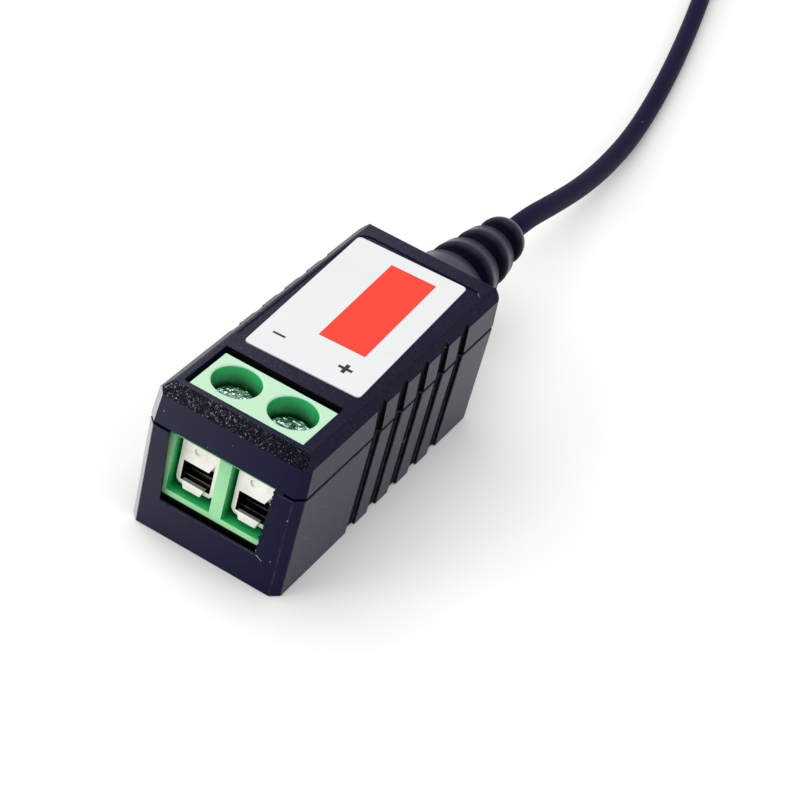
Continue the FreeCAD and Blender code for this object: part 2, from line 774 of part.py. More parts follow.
def make_winding(name, middle):
    """Turns of wire around one side of the core, joined at their feet."""
    body = new_body(name, "0", f"{CORE_MIDDLE} - body_length / 2", BOARD_TOP)
    body.Placement = Placement(body.Placement.Base, Rotation(Vector(0, 0, 1), middle))
    bind(body, "Placement.Rotation.Angle", f"{middle} - winding_spread / 2")
    inner = "(core_inner / 2 - fit_clearance)"
    outer = "(core_outer / 2 + fit_clearance)"
    top = "(wire_size + core_height + 2 * fit_clearance)"
    turn_outline = draw(body, "turn_outline", "XZ_Plane", [
        rectangle(f"{inner} - wire_size", f"{outer} + wire_size", "0", f"{top} + wire_size"),
        rectangle(inner, outer, "wire_size", top),
    ])
    one = pad(body, "turn", turn_outline, "wire_size", both_ways=True)
    around(body, "turns", one, "Z_Axis", "turns_each", "winding_spread")
    foot = draw(body, "foot_outline", "XZ_Plane", [rectangle(outer, f"{outer} + wire_size", "0", "wire_size")])
    bind(revolve(body, "link", foot), "Angle", "winding_spread")


def make_surge_suppressor():
    body = new_body("surge_suppressor", "suppressor_side", f"{SMALL_PART_MIDDLE} - body_length / 2", BOARD_TOP)
    plan = draw(body, "plan", "XY_Plane", [centred("suppressor_width / 2", "suppressor_length / 2")])
    pad(body, "block", plan, "suppressor_height")
    soften(body, "Chamfer", "edges", lambda edge: level_at(edge, "suppressor_height"), "suppressor_chamfer")


def make_resistor():
    """Barrel with a metal cap on each end, lying along the board."""
    height = f"({BOARD_TOP} + resistor_cap_diameter / 2 + fit_clearance)"
    body = new_body("resistor", "resistor_side", f"{SMALL_PART_MIDDLE} - body_length / 2", height)
    half = "resistor_length / 2"
    barrel = "resistor_diameter / 2"
    cap = "resistor_cap_diameter / 2"
    outline = draw(body, "outline", "XY_Plane", [[
        ("0", f"-{half}"), (cap, f"-{half}"), (cap, f"resistor_cap - {half}"), (barrel, f"resistor_cap - {half}"),
        (barrel, f"{half} - resistor_cap"), (cap, f"{half} - resistor_cap"), (cap, half), ("0", half),
    ]])
    revolve(body, "barrel", outline)


def make_capacitor():
    """Disc standing on edge on its two leads."""
    body = new_body("capacitor", "capacitor_side", f"{SMALL_PART_MIDDLE} - body_length / 2", BOARD_TOP)
    middle = "(capacitor_lift + capacitor_diameter / 2)"
    disc = draw(body, "disc_outline", "YZ_Plane", [("circle", "0", middle, "capacitor_diameter / 2")])
    pad(body, "disc", disc, "capacitor_thickness", both_ways=True)
    soften(body, "Fillet", "rim", lambda edge: len(edge.Vertexes) == 1, "capacitor_thickness / 3")
    legs = draw(body, "leg_plan", "XY_Plane", [
        ("circle", "0", f"{side} * capacitor_diameter / 4", "lead_diameter / 2") for side in ("-1", "1")
    ])
    pad(body, "legs", legs, middle)


# Cables and wires, swept along straight runs joined by tangent arcs

ARC_SHARE = 0.45


def rounded_route(corners):
    """Wire through corners, each replaced by an arc, and the smallest arc radius."""
    edges = []
    radii = []
    start = corners[0]
    for before, corner, after in zip(corners, corners[1:], corners[2:]):
        back = (before - corner).normalize()
        ahead = (after - corner).normalize()
        cut = ARC_SHARE * min((before - corner).Length, (after - corner).Length)
        half_turn = (math.pi - back.getAngle(ahead)) / 2
        radius = cut / math.tan(half_turn)
        bisector = (back + ahead).normalize()
        middle = corner + bisector * (radius / math.cos(half_turn) - radius)
        first = corner + back * cut
        last = corner + ahead * cut
        edges.append(Part.LineSegment(start, first).toShape())
        edges.append(Part.Arc(first, middle, last).toShape())
        radii.append(radius)
        start = last
    edges.append(Part.LineSegment(start, corners[-1]).toShape())
    return Part.Wire(edges), min(radii)


def make_routed(name, corners, diameter):
    """Round cable or wire of one diameter along a route drawn from the case's front face."""
    back = Vector(0, value("body_length / 2"), 0)
    places = [Vector(*corner) - back for corner in corners]
    route, tightest = rounded_route(places)
    section = Part.Wire(Part.makeCircle(diameter / 2, places[0], places[1] - places[0]))
    piece = doc.addObject("Part::Feature", name)
    piece.Label = name
    piece.Shape = route.makePipeShell([section], True, False)
    pieces.append(piece)
    share = piece.Shape.Volume / (math.pi * diameter ** 2 / 4 * route.Length)
    print(f"{name}: {route.Length:.1f} mm long, tightest radius {tightest:.1f} mm, volume {share:.4f} of its route's")


def make_cable():
    height = value("cable_height")
    relief_end = value(RELIEF_END)
    side = value("plug_side")
    plug = value("plug_setback")
    plug_height = value(PLUG_HEIGHT)
    corners = [(0, relief_end, height), (0, relief_end + CABLE_LEAD_OUT, height)]
    corners += CABLE_CORNERS
    corners += [(side, plug - CABLE_LEAD_IN, plug_height), (side, plug, plug_height)]
    make_routed("cable", corners, value("cable_diameter"))


def make_inner_wires():
    """Core and screen of the cable, each bent down to the board."""
    start = value(CABLE_START)
    height = value("cable_height")
    landing = value(WIRE_LANDING)
    floor = value(BOARD_TOP)
    for name, side in (("core_wire", 1), ("screen_wire", -1)):
        diameter = value(f"{name}_diameter")
        across = side * (diameter + value("fit_clearance")) / 2
        make_routed(name, [(across, start, height), (across, landing, height), (across, landing, floor)], diameter)


def make_straight_cable(name, across, back, up, length):
    """Straight stretch of the cable inside a fitting."""
    body = new_body(name, across, back, up)
    end = draw(body, "section", "XZ_Plane", [("circle", "0", "0", "cable_diameter / 2")])
    pad(body, "stretch", end, length, reverse=True)


# Strain relief

def make_strain_relief():
    """Ringed taper moulded on the cable, with a neck and flange held by the back wall."""
    body = new_body("strain_relief")
    bore = "(cable_diameter / 2 + fit_clearance)"
    foot = "(body_length + fit_clearance)"
    outline = draw(body, "profile", "XY_Plane", [[
        (bore, f"{CAVITY_BACK} - relief_flange_thickness"),
        ("relief_flange / 2", f"{CAVITY_BACK} - relief_flange_thickness"),
        ("relief_flange / 2", f"{CAVITY_BACK} - fit_clearance"),
        ("relief_neck / 2", f"{CAVITY_BACK} - fit_clearance"),
        ("relief_neck / 2", foot),
        ("relief_base / 2", foot),
        ("relief_tip / 2", RELIEF_END),
        (bore, RELIEF_END),
    ]], "cable_height")
    revolve(body, "taper", outline)
    soften(body, "Fillet", "tip_round",
           lambda edge: len(edge.Vertexes) == 1 and near(ends(edge)[0].y, RELIEF_END)
           and near(edge.Curve.Radius, "relief_tip / 2"), "relief_tip_round")
    rings = []
    for ring in range(3):
        along = f"(relief_ring_start + {ring} * relief_ring_pitch)"
        surface = f"(relief_base / 2 - (relief_base - relief_tip) / 2 * {along} / relief_length)"
        rings.append(("circle", f"{surface} + relief_ring_standoff", f"body_length + {along}",
                      "relief_ring_size / 2"))
    revolve(body, "rings", draw(body, "ring_outline", "XY_Plane", rings, "cable_height"), "Groove")


# Bayonet plug, each piece drawn from the tail of its grip

def plug_body(name):
    return new_body(name, "plug_side", "plug_setback - body_length / 2", PLUG_HEIGHT)


def turned(body, corners, name="profile"):
    """Solid of revolution about the plug's axis. Corners are a radius and a place along it."""
    return revolve(body, f"{name}_turn", draw(body, name, "XY_Plane", [corners]))


def make_plug_grip():
    """Moulded grip with flutes, closed round the cable at its tail."""
    body = plug_body("plug_grip")
    bore = "(cable_diameter / 2 + fit_clearance)"
    socket = "(shell_spigot / 2 + fit_clearance)"
    turned(body, [
        (bore, "0"),
        ("grip_tail / 2", "0"),
        ("grip_diameter / 2", "grip_taper"),
        ("grip_diameter / 2", "grip_length"),
        (socket, "grip_length"),
        (socket, "grip_length - grip_socket_depth"),
        (bore, "grip_length - grip_socket_depth"),
    ])
    flute_start = "(grip_length - grip_flute_length) - grip_flute_width"
    flute = draw(body, "flute_outline", "XY_Plane", [
        rectangle("-grip_flute_width / 2", "grip_flute_width / 2", flute_start, "grip_length - grip_flute_width")
    ], "grip_diameter / 2 - grip_flute_depth")
    around(body, "flutes", pocket(body, "flute", flute, "grip_diameter", reverse=True), "Y_Axis", "grip_flutes")


def make_plug_shell():
    """Turned body of the plug: spigot, collar, neck, shoulder and slotted contact sleeve."""
    body = plug_body("plug_shell")
    turned(body, [
        ("shell_bore / 2", "grip_length - grip_socket_depth + fit_clearance"),
        ("shell_spigot / 2", "grip_length - grip_socket_depth + fit_clearance"),
        ("shell_spigot / 2", "grip_length + fit_clearance"),
        ("shell_collar / 2", "grip_length + fit_clearance"),
        ("shell_collar / 2", NECK_START),
        ("shell_neck / 2", NECK_START),
        ("shell_neck / 2", NECK_END),
        ("ring_bore / 2 - ring_clearance", NECK_END),
        ("ring_bore / 2 - ring_clearance", SLEEVE_START),
        ("gasket_seat / 2", SLEEVE_START),
        ("gasket_seat / 2", f"{SLEEVE_START} + gasket_thickness"),
        ("sleeve_diameter / 2", f"{SLEEVE_START} + gasket_thickness"),
        ("sleeve_diameter / 2", SLEEVE_END),
        ("sleeve_bore / 2", SLEEVE_END),
        ("sleeve_bore / 2", SLEEVE_FLOOR),
        ("shell_bore / 2", SLEEVE_FLOOR),
    ])
    slot = draw(body, "slot_outline", "XY_Plane", [
        rectangle("-sleeve_slot / 2", "sleeve_slot / 2", f"{SLEEVE_END} - sleeve_slot_length",
                  f"{SLEEVE_END} + sleeve_slot")
    ])
    around(body, "slots", pocket(body, "slot", slot, "sleeve_diameter"), "Y_Axis", "sleeve_slots")


def make_plug_insulator():
    body = plug_body("plug_insulator")
    bore = "(pin_diameter / 2 + fit_clearance)"
    start = f"({SLEEVE_FLOOR} - insulator_tail)"
    turned(body, [
        (bore, start),
        ("shell_bore / 2 - fit_clearance", start),
        ("shell_bore / 2 - fit_clearance", f"{SLEEVE_FLOOR} + fit_clearance"),
        ("sleeve_bore / 2 - fit_clearance", f"{SLEEVE_FLOOR} + fit_clearance"),
        ("sleeve_bore / 2 - fit_clearance", f"{SLEEVE_FLOOR} + insulator_length"),
        (bore, f"{SLEEVE_FLOOR} + insulator_length"),
    ])


def make_plug_pin():
    """Centre contact, crimped on the end of the cable."""
    body = plug_body("plug_pin")
    barrel_end = f"({CABLE_IN_PLUG} + pin_barrel_length)"
    tip = f"({SLEEVE_END} - pin_recess)"
    turned(body, [
        ("0", CABLE_IN_PLUG),
        ("pin_barrel / 2", CABLE_IN_PLUG),
        ("pin_barrel / 2", barrel_end),
        ("pin_diameter / 2", barrel_end),
        ("pin_diameter / 2", f"{tip} - pin_point"),
        ("pin_diameter / 2 - pin_point", tip),
        ("0", tip),
    ])


def make_plug_gasket():
    body = plug_body("plug_gasket")
    bore = "(gasket_seat / 2 + fit_clearance)"
    turned(body, rectangle(bore, "gasket_diameter / 2", SLEEVE_START, f"{SLEEVE_START} + gasket_thickness"))


def make_spring_washer():
    """Dished washer that pushes the ring back from the shoulder."""
    body = plug_body("spring_washer")
    inner = "(shell_neck / 2 + ring_clearance)"
    outer = "(ring_bore / 2 - ring_clearance)"
    near_end = f"({RING_START} + ring_lip + fit_clearance)"
    far_end = f"({NECK_END} - fit_clearance)"
    turned(body, [
        (inner, f"{far_end} - washer_thickness"),
        (inner, far_end),
        (outer, f"{near_end} + washer_thickness"),
        (outer, near_end),
    ])


def make_coupling_ring():
    """Bayonet ring, with two tracks that end in holes for the socket's studs."""
    body = plug_body("coupling_ring")
    turned(body, [
        ("shell_neck / 2 + ring_clearance", RING_START),
        ("ring_diameter / 2", RING_START),
        ("ring_diameter / 2", f"{RING_START} + ring_grip_length"),
        ("ring_waist / 2", f"{RING_START} + ring_grip_length + (ring_diameter - ring_waist) / 2"),
        ("ring_waist / 2", f"{RING_END} - ring_nose_length - (ring_nose - ring_waist) / 2"),
        ("ring_nose / 2", f"{RING_END} - ring_nose_length"),
        ("ring_nose / 2", RING_END),
        ("ring_bore / 2", RING_END),
        ("ring_bore / 2", f"{RING_START} + ring_lip"),
        ("shell_neck / 2 + ring_clearance", f"{RING_START} + ring_lip"),
    ])
    entry = draw(body, "entry_outline", "XY_Plane", [
        rectangle("-track_width / 2", "track_width / 2", f"{RING_END} - track_entry", f"{RING_END} + track_width")
    ])
    around(body, "entries", pocket(body, "entry", entry, "ring_bore / 2 + track_depth"), "Y_Axis", "2")
    lock = draw(body, "lock_outline", "YZ_Plane",
                [("circle", f"{RING_END} - lock_setback", "0", "track_width / 2")])
    pocket(body, "locks", lock, "2 * ring_diameter", both_ways=True)


make_bottom_case()
make_top_cover()
make_label()
make_terminal_housing()
for end, side in (("left", "-1"), ("right", "1")):
    make_clamp_screw(f"clamp_screw_{end}", side)
    make_wire_cage(f"wire_cage_{end}", side)
    make_contact_bar(f"contact_bar_{end}", side)
make_circuit_board()
make_ferrite_core()
make_winding("winding_line", 180)
make_winding("winding_coax", 0)
make_surge_suppressor()
make_resistor()
make_capacitor()
make_inner_wires()
make_straight_cable("cable_in_relief", "0", f"{CABLE_START} - body_length / 2", "cable_height",
                    f"{RELIEF_END} - {CABLE_START}")
make_strain_relief()
make_cable()
make_straight_cable("cable_in_plug", "plug_side", "plug_setback - body_length / 2", PLUG_HEIGHT, CABLE_IN_PLUG)
make_plug_grip()
make_plug_shell()
make_plug_insulator()
make_plug_pin()
make_plug_gasket()
make_spring_washer()
make_coupling_ring()

doc.recompute()
faults = [item.Name for item in doc.Objects if {"Invalid", "Error"} & set(item.State)]
faults += [piece.Name for piece in pieces if piece.Shape.isNull() or not piece.Shape.isValid()]
if faults:
    raise RuntimeError(f"faulty objects: {faults}")

os.makedirs("parts", exist_ok=True)
for piece in pieces:
    piece.Shape.exportStep(f"parts/{piece.Label}.step")
    print(f"{piece.Label}: {len(piece.Shape.Solids)} solid, {piece.Shape.Volume:.2f} mm3")
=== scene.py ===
import math
import random
import bmesh
import bpy
from mathutils import Matrix, Vector


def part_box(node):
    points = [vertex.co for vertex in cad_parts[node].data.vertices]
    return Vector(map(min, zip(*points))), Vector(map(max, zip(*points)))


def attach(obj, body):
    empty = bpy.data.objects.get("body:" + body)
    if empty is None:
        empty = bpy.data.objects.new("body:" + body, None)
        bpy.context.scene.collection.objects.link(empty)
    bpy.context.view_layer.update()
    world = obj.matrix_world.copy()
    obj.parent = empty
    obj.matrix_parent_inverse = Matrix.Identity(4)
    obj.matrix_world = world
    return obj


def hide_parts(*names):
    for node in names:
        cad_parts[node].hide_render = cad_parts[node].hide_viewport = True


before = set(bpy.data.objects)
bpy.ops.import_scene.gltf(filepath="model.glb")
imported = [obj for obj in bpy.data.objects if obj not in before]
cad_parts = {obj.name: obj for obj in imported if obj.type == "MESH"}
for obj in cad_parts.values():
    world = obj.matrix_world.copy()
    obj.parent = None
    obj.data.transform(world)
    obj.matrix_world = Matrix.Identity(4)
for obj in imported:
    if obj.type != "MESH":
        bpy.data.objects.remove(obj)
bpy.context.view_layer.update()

# A short, passive video balun: a small black case with a green screw terminal in
# its front end and a thin coaxial pigtail out of its back. It lies on a pale
# surface, and the camera looks down on it from the terminals' right.


# The camera. It stands about 20 cm off, as for a close product shot, and its
# roll lays the case along the picture's diagonal.

def placed(name, data):
    """Object with the given data, linked into the scene."""
    made = bpy.data.objects.new(name, data)
    bpy.context.collection.objects.link(made)
    return made


azimuth = math.radians(20.268)
elevation = math.radians(36.928)
roll = math.radians(15.729)
distance = 0.202033
aim = Vector((0.001574, 0.013196, 0.0))
focal_pixels = 2353.3
picture_pixels = 800

towards_camera = Vector((math.sin(azimuth) * math.cos(elevation),
                         -math.cos(azimuth) * math.cos(elevation),
                         math.sin(elevation)))
level = Vector((0, 0, 1)).cross(towards_camera).normalized()
rise = towards_camera.cross(level)
picture_right = level * math.cos(roll) + rise * math.sin(roll)
picture_up = rise * math.cos(roll) - level * math.sin(roll)
camera_data = bpy.data.cameras.new("camera")
camera_data.sensor_width = 36.0
camera_data.lens = focal_pixels * camera_data.sensor_width / picture_pixels
camera_data.clip_start = 0.01
camera = placed("camera", camera_data)
camera.matrix_world = (Matrix.Translation(aim + towards_camera * distance)
                       @ Matrix((picture_right, picture_up, towards_camera)).transposed().to_4x4())
bpy.context.scene.camera = camera


# The surface and the light. A plain pale sheet under everything, a white room
# around it, and four soft panels: a large one above, and one each to the left,
# in front and to the right.

def feed(made, slot, source):
    """Give a node's input its value, or the socket that feeds it."""
    if isinstance(source, bpy.types.NodeSocket):
        made.id_data.links.new(source, made.inputs[slot])
    else:
        made.inputs[slot].default_value = source


def plain_material(name, colour, roughness, metallic=0.0):
    """Material with a principled shader, to which the caller adds its nodes."""
    made = bpy.data.materials.new(name)
    made.use_nodes = True
    shader = made.node_tree.nodes["Principled BSDF"]
    feed(shader, "Base Color", (*colour, 1))
    feed(shader, "Roughness", roughness)
    feed(shader, "Metallic", metallic)
    return made, shader


def node(tree, kind, **settings):
    """Node with its properties set, and its inputs fed as in_NAME or in_NUMBER."""
    made = tree.nodes.new(kind)
    for key, setting in settings.items():
        if key.startswith("in_"):
            slot = key[3:]
            feed(made, int(slot) if slot.isdigit() else slot.replace("_", " "), setting)
        else:
            setattr(made, key, setting)
    return made


def object_place(tree):
    """Socket with a point's place in its own object."""
    return node(tree, "ShaderNodeTexCoord").outputs["Object"]


def emboss(shader, height, depth, strength=1.0):
    """Let a height show as relief that rises by depth."""
    relief = node(shader.id_data, "ShaderNodeBump", in_Strength=strength, in_Distance=depth, in_Height=height)
    feed(shader, "Normal", relief.outputs["Normal"])


sheet_half = 2.0
sheet_mesh = bpy.data.meshes.new("pale_sheet")
sheet_mesh.from_pydata([(-sheet_half, -sheet_half, 0), (sheet_half, -sheet_half, 0),
                        (sheet_half, sheet_half, 0), (-sheet_half, sheet_half, 0)], [], [(0, 1, 2, 3)])
pale_sheet = placed("pale_sheet", sheet_mesh)
sheet_paper, sheet_shader = plain_material("pale_sheet", (0.86, 0.86, 0.84), 0.7)
sheet_tree = sheet_paper.node_tree
sheet_grain = node(sheet_tree, "ShaderNodeTexNoise", in_Vector=object_place(sheet_tree), in_Scale=900.0,
                   in_Detail=4.0)
emboss(sheet_shader, sheet_grain.outputs["Fac"], depth=0.0002, strength=0.04)
sheet_mesh.materials.append(sheet_paper)

room = bpy.data.worlds.new("white_room")
bpy.context.scene.world = room
room.use_nodes = True
sky = room.node_tree.nodes["Background"]
feed(sky, "Color", (0.97, 0.98, 1.0, 1))
feed(sky, "Strength", 0.58)
bpy.context.scene.view_settings.view_transform = "Standard"
lit_place = Vector((0, 0, 0.005))


def soft_panel(name, place, width, watts, colour):
    """Square area light that faces the middle of the case."""
    lamp = bpy.data.lights.new(name, "AREA")
    lamp.size = width
    lamp.energy = watts
    lamp.color = colour
    holder = placed(name, lamp)
    holder.location = place
    holder.rotation_euler = (lit_place - Vector(place)).to_track_quat("-Z", "Y").to_euler()


white_light = (1.0, 1.0, 1.0)
warm_light = (1.0, 0.995, 0.98)
soft_panel("panel_above", (-0.12, 0.0, 0.5), width=0.6, watts=1.95, colour=warm_light)
soft_panel("panel_left", (-0.42, 0.10, 0.16), width=0.3, watts=0.6, colour=white_light)
soft_panel("panel_front", (-0.30, -0.42, 0.2), width=0.24, watts=0.85, colour=white_light)
soft_panel("panel_right", (0.42, 0.02, 0.3), width=0.3, watts=0.5, colour=white_light)


# The pigtail: a 2 mm coaxial cable with a soft black vinyl jacket, 15 cm long. It
# leaves the strain relief, sinks to the surface and swings left to its plug.

cable_diameter = 0.002
jacket_black = (0.008, 0.005, 0.026)
cable_route = [
    (0.0, 0.0330, 0.0071), (0.0, 0.0362, 0.0071), (0.0, 0.0424, 0.00575), (-0.0003, 0.0509, 0.00375),
    (-0.0010, 0.0599, 0.00215), (-0.0022, 0.0699, 0.0011), (-0.0044, 0.0824, 0.00105),
    (-0.0076, 0.0964, 0.00102), (-0.0113, 0.1104, 0.00105), (-0.0122, 0.1239, 0.00102),
    (-0.0116, 0.1369, 0.00105), (-0.0100, 0.1489, 0.0016), (-0.0079, 0.1604, 0.0037),
    (-0.0061, 0.1714, 0.0064), (-0.0058, 0.1774, 0.0072), (-0.0058, 0.1814, 0.0072),
]
cable_curve = bpy.data.curves.new("pigtail", "CURVE")
cable_curve.dimensions = "3D"
cable_curve.bevel_depth = 1.0
cable_curve.bevel_resolution = 6
cable_line = cable_curve.splines.new("NURBS")
cable_line.points.add(len(cable_route) - 1)
for point, place in zip(cable_line.points, cable_route):
    point.co = (*place, 1)
    point.radius = cable_diameter / 2
cable_line.order_u = 3
cable_line.use_endpoint_u = True
cable_line.resolution_u = 10
cable = placed("pigtail", cable_curve)
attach(cable, "balun")
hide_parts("cable")


def shader_group(name, inputs, outputs):
    """Shader group with its sockets. An input starts at a number, or at None if it is a vector."""
    group = bpy.data.node_groups.new(name, "ShaderNodeTree")
    for title, start in inputs.items():
        kind = "NodeSocketVector" if start is None else "NodeSocketFloat"
        socket = group.interface.new_socket(title, in_out="INPUT", socket_type=kind)
        if start is not None:
            socket.default_value = start
    for title in outputs:
        group.interface.new_socket(title, in_out="OUTPUT", socket_type="NodeSocketFloat")
    return group, node(group, "NodeGroupInput").outputs, node(group, "NodeGroupOutput")


def reckon(tree, operation, *values):
    """Socket with the result of one sum. Each value is a number or a socket."""
    made = node(tree, "ShaderNodeMath", operation=operation)
    for slot, value in enumerate(values):
        feed(made, slot, value)
    return made.outputs[0]


def ranged(tree, value, span=(0.0, 1.0), onto=(0.0, 1.0), **settings):
    """Socket with a value carried from one span onto another, and held within it."""
    return node(tree, "ShaderNodeMapRange", **settings, in_Value=value, in_From_Min=span[0],
                in_From_Max=span[1], in_To_Min=onto[0], in_To_Max=onto[1]).outputs["Result"]


def mixed(tree, share, first, second):
    """Socket with two colours mixed. Each is three numbers or a socket."""
    first, second = ((*colour, 1) if isinstance(colour, tuple) else colour for colour in (first, second))
    mix = node(tree, "ShaderNodeMix", data_type="RGBA", in_Factor=share, in_6=first, in_7=second)
    return mix.outputs["Result"]


def toned(colour, times):
    """Colour made lighter or darker."""
    return tuple(part * times for part in colour)


def mould_grain():
    """Group for moulded plastic: fine relief, slow shading, and rare pale specks of dust."""
    sizes = {"Grain Size": 0.0002, "Speck Spacing": 0.0012, "Speck Size": 0.05}
    group, given, out = shader_group("mould_grain", sizes, ("Relief", "Shading", "Specks"))
    place = object_place(group)
    grain = node(group, "ShaderNodeTexNoise", in_Vector=place,
                 in_Scale=reckon(group, "DIVIDE", 1.0, given["Grain Size"]), in_Detail=2.0, in_Roughness=0.6)
    slow = node(group, "ShaderNodeTexNoise", in_Vector=place, in_Scale=260.0, in_Detail=3.0)
    cells = node(group, "ShaderNodeTexVoronoi", in_Vector=place,
                 in_Scale=reckon(group, "DIVIDE", 1.0, given["Speck Spacing"])).outputs
    small = reckon(group, "LESS_THAN", cells["Distance"], given["Speck Size"])
    lucky = node(group, "ShaderNodeTexWhiteNoise", noise_dimensions="3D", in_Vector=cells["Position"])
    rare = reckon(group, "GREATER_THAN", lucky.outputs["Value"], 0.8)
    feed(out, "Relief", grain.outputs["Fac"])
    feed(out, "Shading", slow.outputs["Fac"])
    feed(out, "Specks", reckon(group, "MULTIPLY", small, rare))
    return group


def edge_wear():
    """Group that keeps patches of a worn edge: its mask, broken up by noise."""
    sizes = {"Edge": 0.0, "Patch Size": 0.0006, "Share": 0.5}
    group, given, out = shader_group("edge_wear", sizes, ("Wear",))
    patches = node(group, "ShaderNodeTexNoise", in_Vector=object_place(group),
                   in_Scale=reckon(group, "DIVIDE", 1.0, given["Patch Size"]), in_Detail=2.0)
    worn = reckon(group, "MULTIPLY", ranged(group, patches.outputs["Fac"], (0.7, 0.45)), given["Edge"])
    feed(out, "Wear", reckon(group, "MULTIPLY", worn, given["Share"]))
    return group


mould_grain_group = mould_grain()
edge_wear_group = edge_wear()


def worn_edges(tree, patch_size, share):
    """Socket with the patches where an edge is worn."""
    edge = node(tree, "ShaderNodeAttribute", attribute_name="worn").outputs["Fac"]
    return node(tree, "ShaderNodeGroup", node_tree=edge_wear_group, in_Edge=edge, in_Patch_Size=patch_size,
                in_Share=share).outputs["Wear"]


def moulded_material(name, colour, roughness, grain_size, depth, sheen=0.3, shade=0.12,
                     worn=(0.05, 0.05, 0.06), speck_spacing=0.0014, speck_size=0.05,
                     speck_colour=(0.35, 0.35, 0.4)):
    """Moulded plastic or vinyl: grain in its relief and roughness, slow shading, worn edges and specks."""
    made, shader = plain_material(name, colour, roughness)
    tree = made.node_tree
    uneven = 0.08
    grain = node(tree, "ShaderNodeGroup", node_tree=mould_grain_group, in_Grain_Size=grain_size,
                 in_Speck_Spacing=speck_spacing, in_Speck_Size=speck_size).outputs
    tone = mixed(tree, grain["Shading"], toned(colour, 1 - shade), toned(colour, 1 + shade))
    rubbed = mixed(tree, worn_edges(tree, patch_size=0.0005, share=0.7), tone, worn)
    feed(shader, "Specular IOR Level", sheen)
    feed(shader, "Base Color", mixed(tree, grain["Specks"], rubbed, speck_colour))
    feed(shader, "Roughness", ranged(tree, grain["Relief"], onto=(roughness - uneven, roughness + uneven)))
    emboss(shader, grain["Relief"], depth)
    return made


jacket = moulded_material("cable_jacket", jacket_black, roughness=0.55, grain_size=0.0004, depth=0.00001,
                          sheen=0.04)
cable_curve.materials.append(jacket)


def coat_node(name, made):
    """Give a CAD node its material in place of the imported one."""
    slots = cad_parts[name].data.materials
    slots.clear()
    slots.append(made)


for hidden_stretch in ("cable_in_relief", "cable_in_plug"):
    coat_node(hidden_stretch, jacket)


# The strain relief: soft black vinyl moulded on the cable, tapered and ringed so
# that it bends evenly. Its neck and flange are held by the case's back wall; its
# crests carry a painted highlight and its valleys painted shade.

def turned_mesh(name, profile, middle, steps):
    """Mesh turned about a line along Y through middle. Profile points are a radius and a place along Y."""
    smooth_below = math.radians(40)
    work = bmesh.new()
    rows = []
    for radius, along in profile:
        turn = [2 * math.pi * step / steps for step in range(steps)]
        rows.append([work.verts.new((middle.x + radius * math.cos(angle), along,
                                     middle.z + radius * math.sin(angle))) for angle in turn])
    for low, high in zip(rows, rows[1:] + rows[:1]):
        for step in range(steps):
            after = (step + 1) % steps
            work.faces.new((low[step], low[after], high[after], high[step]))
    bmesh.ops.recalc_face_normals(work, faces=work.faces)
    for edge in work.edges:
        edge.smooth = edge.calc_face_angle(0) < smooth_below
    for face in work.faces:
        face.smooth = True
    mesh = bpy.data.meshes.new(name)
    work.to_mesh(mesh)
    work.free()
    return mesh


relief_black = (0.003, 0.0025, 0.014)
relief_low, relief_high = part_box("strain_relief")
relief_middle = (relief_low + relief_high) / 2
flange_radius = 0.0036
flange_back = relief_low.y + 0.00108
neck_radius = 0.0025
relief_foot = 0.01562
relief_base = 0.00435
relief_tip = 0.00205
relief_tip_round = 0.0014
relief_bore = 0.00102
valley_places = (0.00675, 0.0106, 0.01445)
valley_depth = 0.00075
valley_half = 0.0013
relief_length = relief_high.y - relief_foot
relief_steps = 180
relief_round = 64


def relief_radius(along):
    """Radius of the tapered outside, with its rounded end and its valleys."""
    radius = relief_base - (relief_base - relief_tip) * along / relief_length
    for place in valley_places:
        if abs(along - place) < valley_half:
            radius -= valley_depth * math.cos(math.pi * (along - place) / (2 * valley_half)) ** 2
    into_round = along - (relief_length - relief_tip_round)
    if into_round > 0:
        radius -= relief_tip_round - math.sqrt(max(relief_tip_round ** 2 - into_round ** 2, 0))
    return radius


relief_profile = [(relief_bore, relief_low.y), (flange_radius, relief_low.y), (flange_radius, flange_back),
                  (neck_radius, flange_back), (neck_radius, relief_foot)]
relief_places = [step * relief_length / relief_steps for step in range(relief_steps + 1)]
relief_profile += [(relief_radius(along), relief_foot + along) for along in relief_places]
relief_profile.append((relief_bore, relief_high.y))
relief_vinyl = moulded_material("relief_vinyl", relief_black, roughness=0.5, grain_size=0.0003, depth=0.00001,
                                sheen=0.06, worn=(0.03, 0.03, 0.045))
ringed_vinyl = relief_vinyl.copy()
ringed_vinyl.name = "ringed_vinyl"
ringed_tree = ringed_vinyl.node_tree
ringed_shader = ringed_tree.nodes["Principled BSDF"]
# Painted light: the crests are lighter and glossier as a highlight, the valleys near black as shade.
crest = node(ringed_tree, "ShaderNodeAttribute", attribute_name="crest").outputs["Fac"]
feed(ringed_shader, "Specular IOR Level", 0.02)
feed(ringed_shader, "Coat Roughness", 0.34)
feed(ringed_shader, "Coat Weight", crest)
feed(ringed_shader, "Base Color", mixed(ringed_tree, crest, (0.0015, 0.0013, 0.007), (0.028, 0.026, 0.056)))
relief_mesh = turned_mesh("ringed_strain_relief", relief_profile, relief_middle, relief_round)
relief_mesh.materials.append(ringed_vinyl)
strain_relief = placed("ringed_strain_relief", relief_mesh)
# Mask of the painted highlight: 0 in the valleys, rising to 1 on the crests.
crest_shift = 0.00015
crest_start, crest_width, crest_power = 0.0008, 0.0012, 1.4
lit_crest_of = relief_mesh.attributes.new("crest", "FLOAT", "POINT")
for vertex in relief_mesh.vertices:
    along = vertex.co.y - relief_foot
    nearest = min([abs(along - place + crest_shift) for place in valley_places])
    lit_crest_of.data[vertex.index].value = min(max((nearest - crest_start) / crest_width, 0), 1) ** crest_power
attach(strain_relief, "balun")
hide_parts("strain_relief")
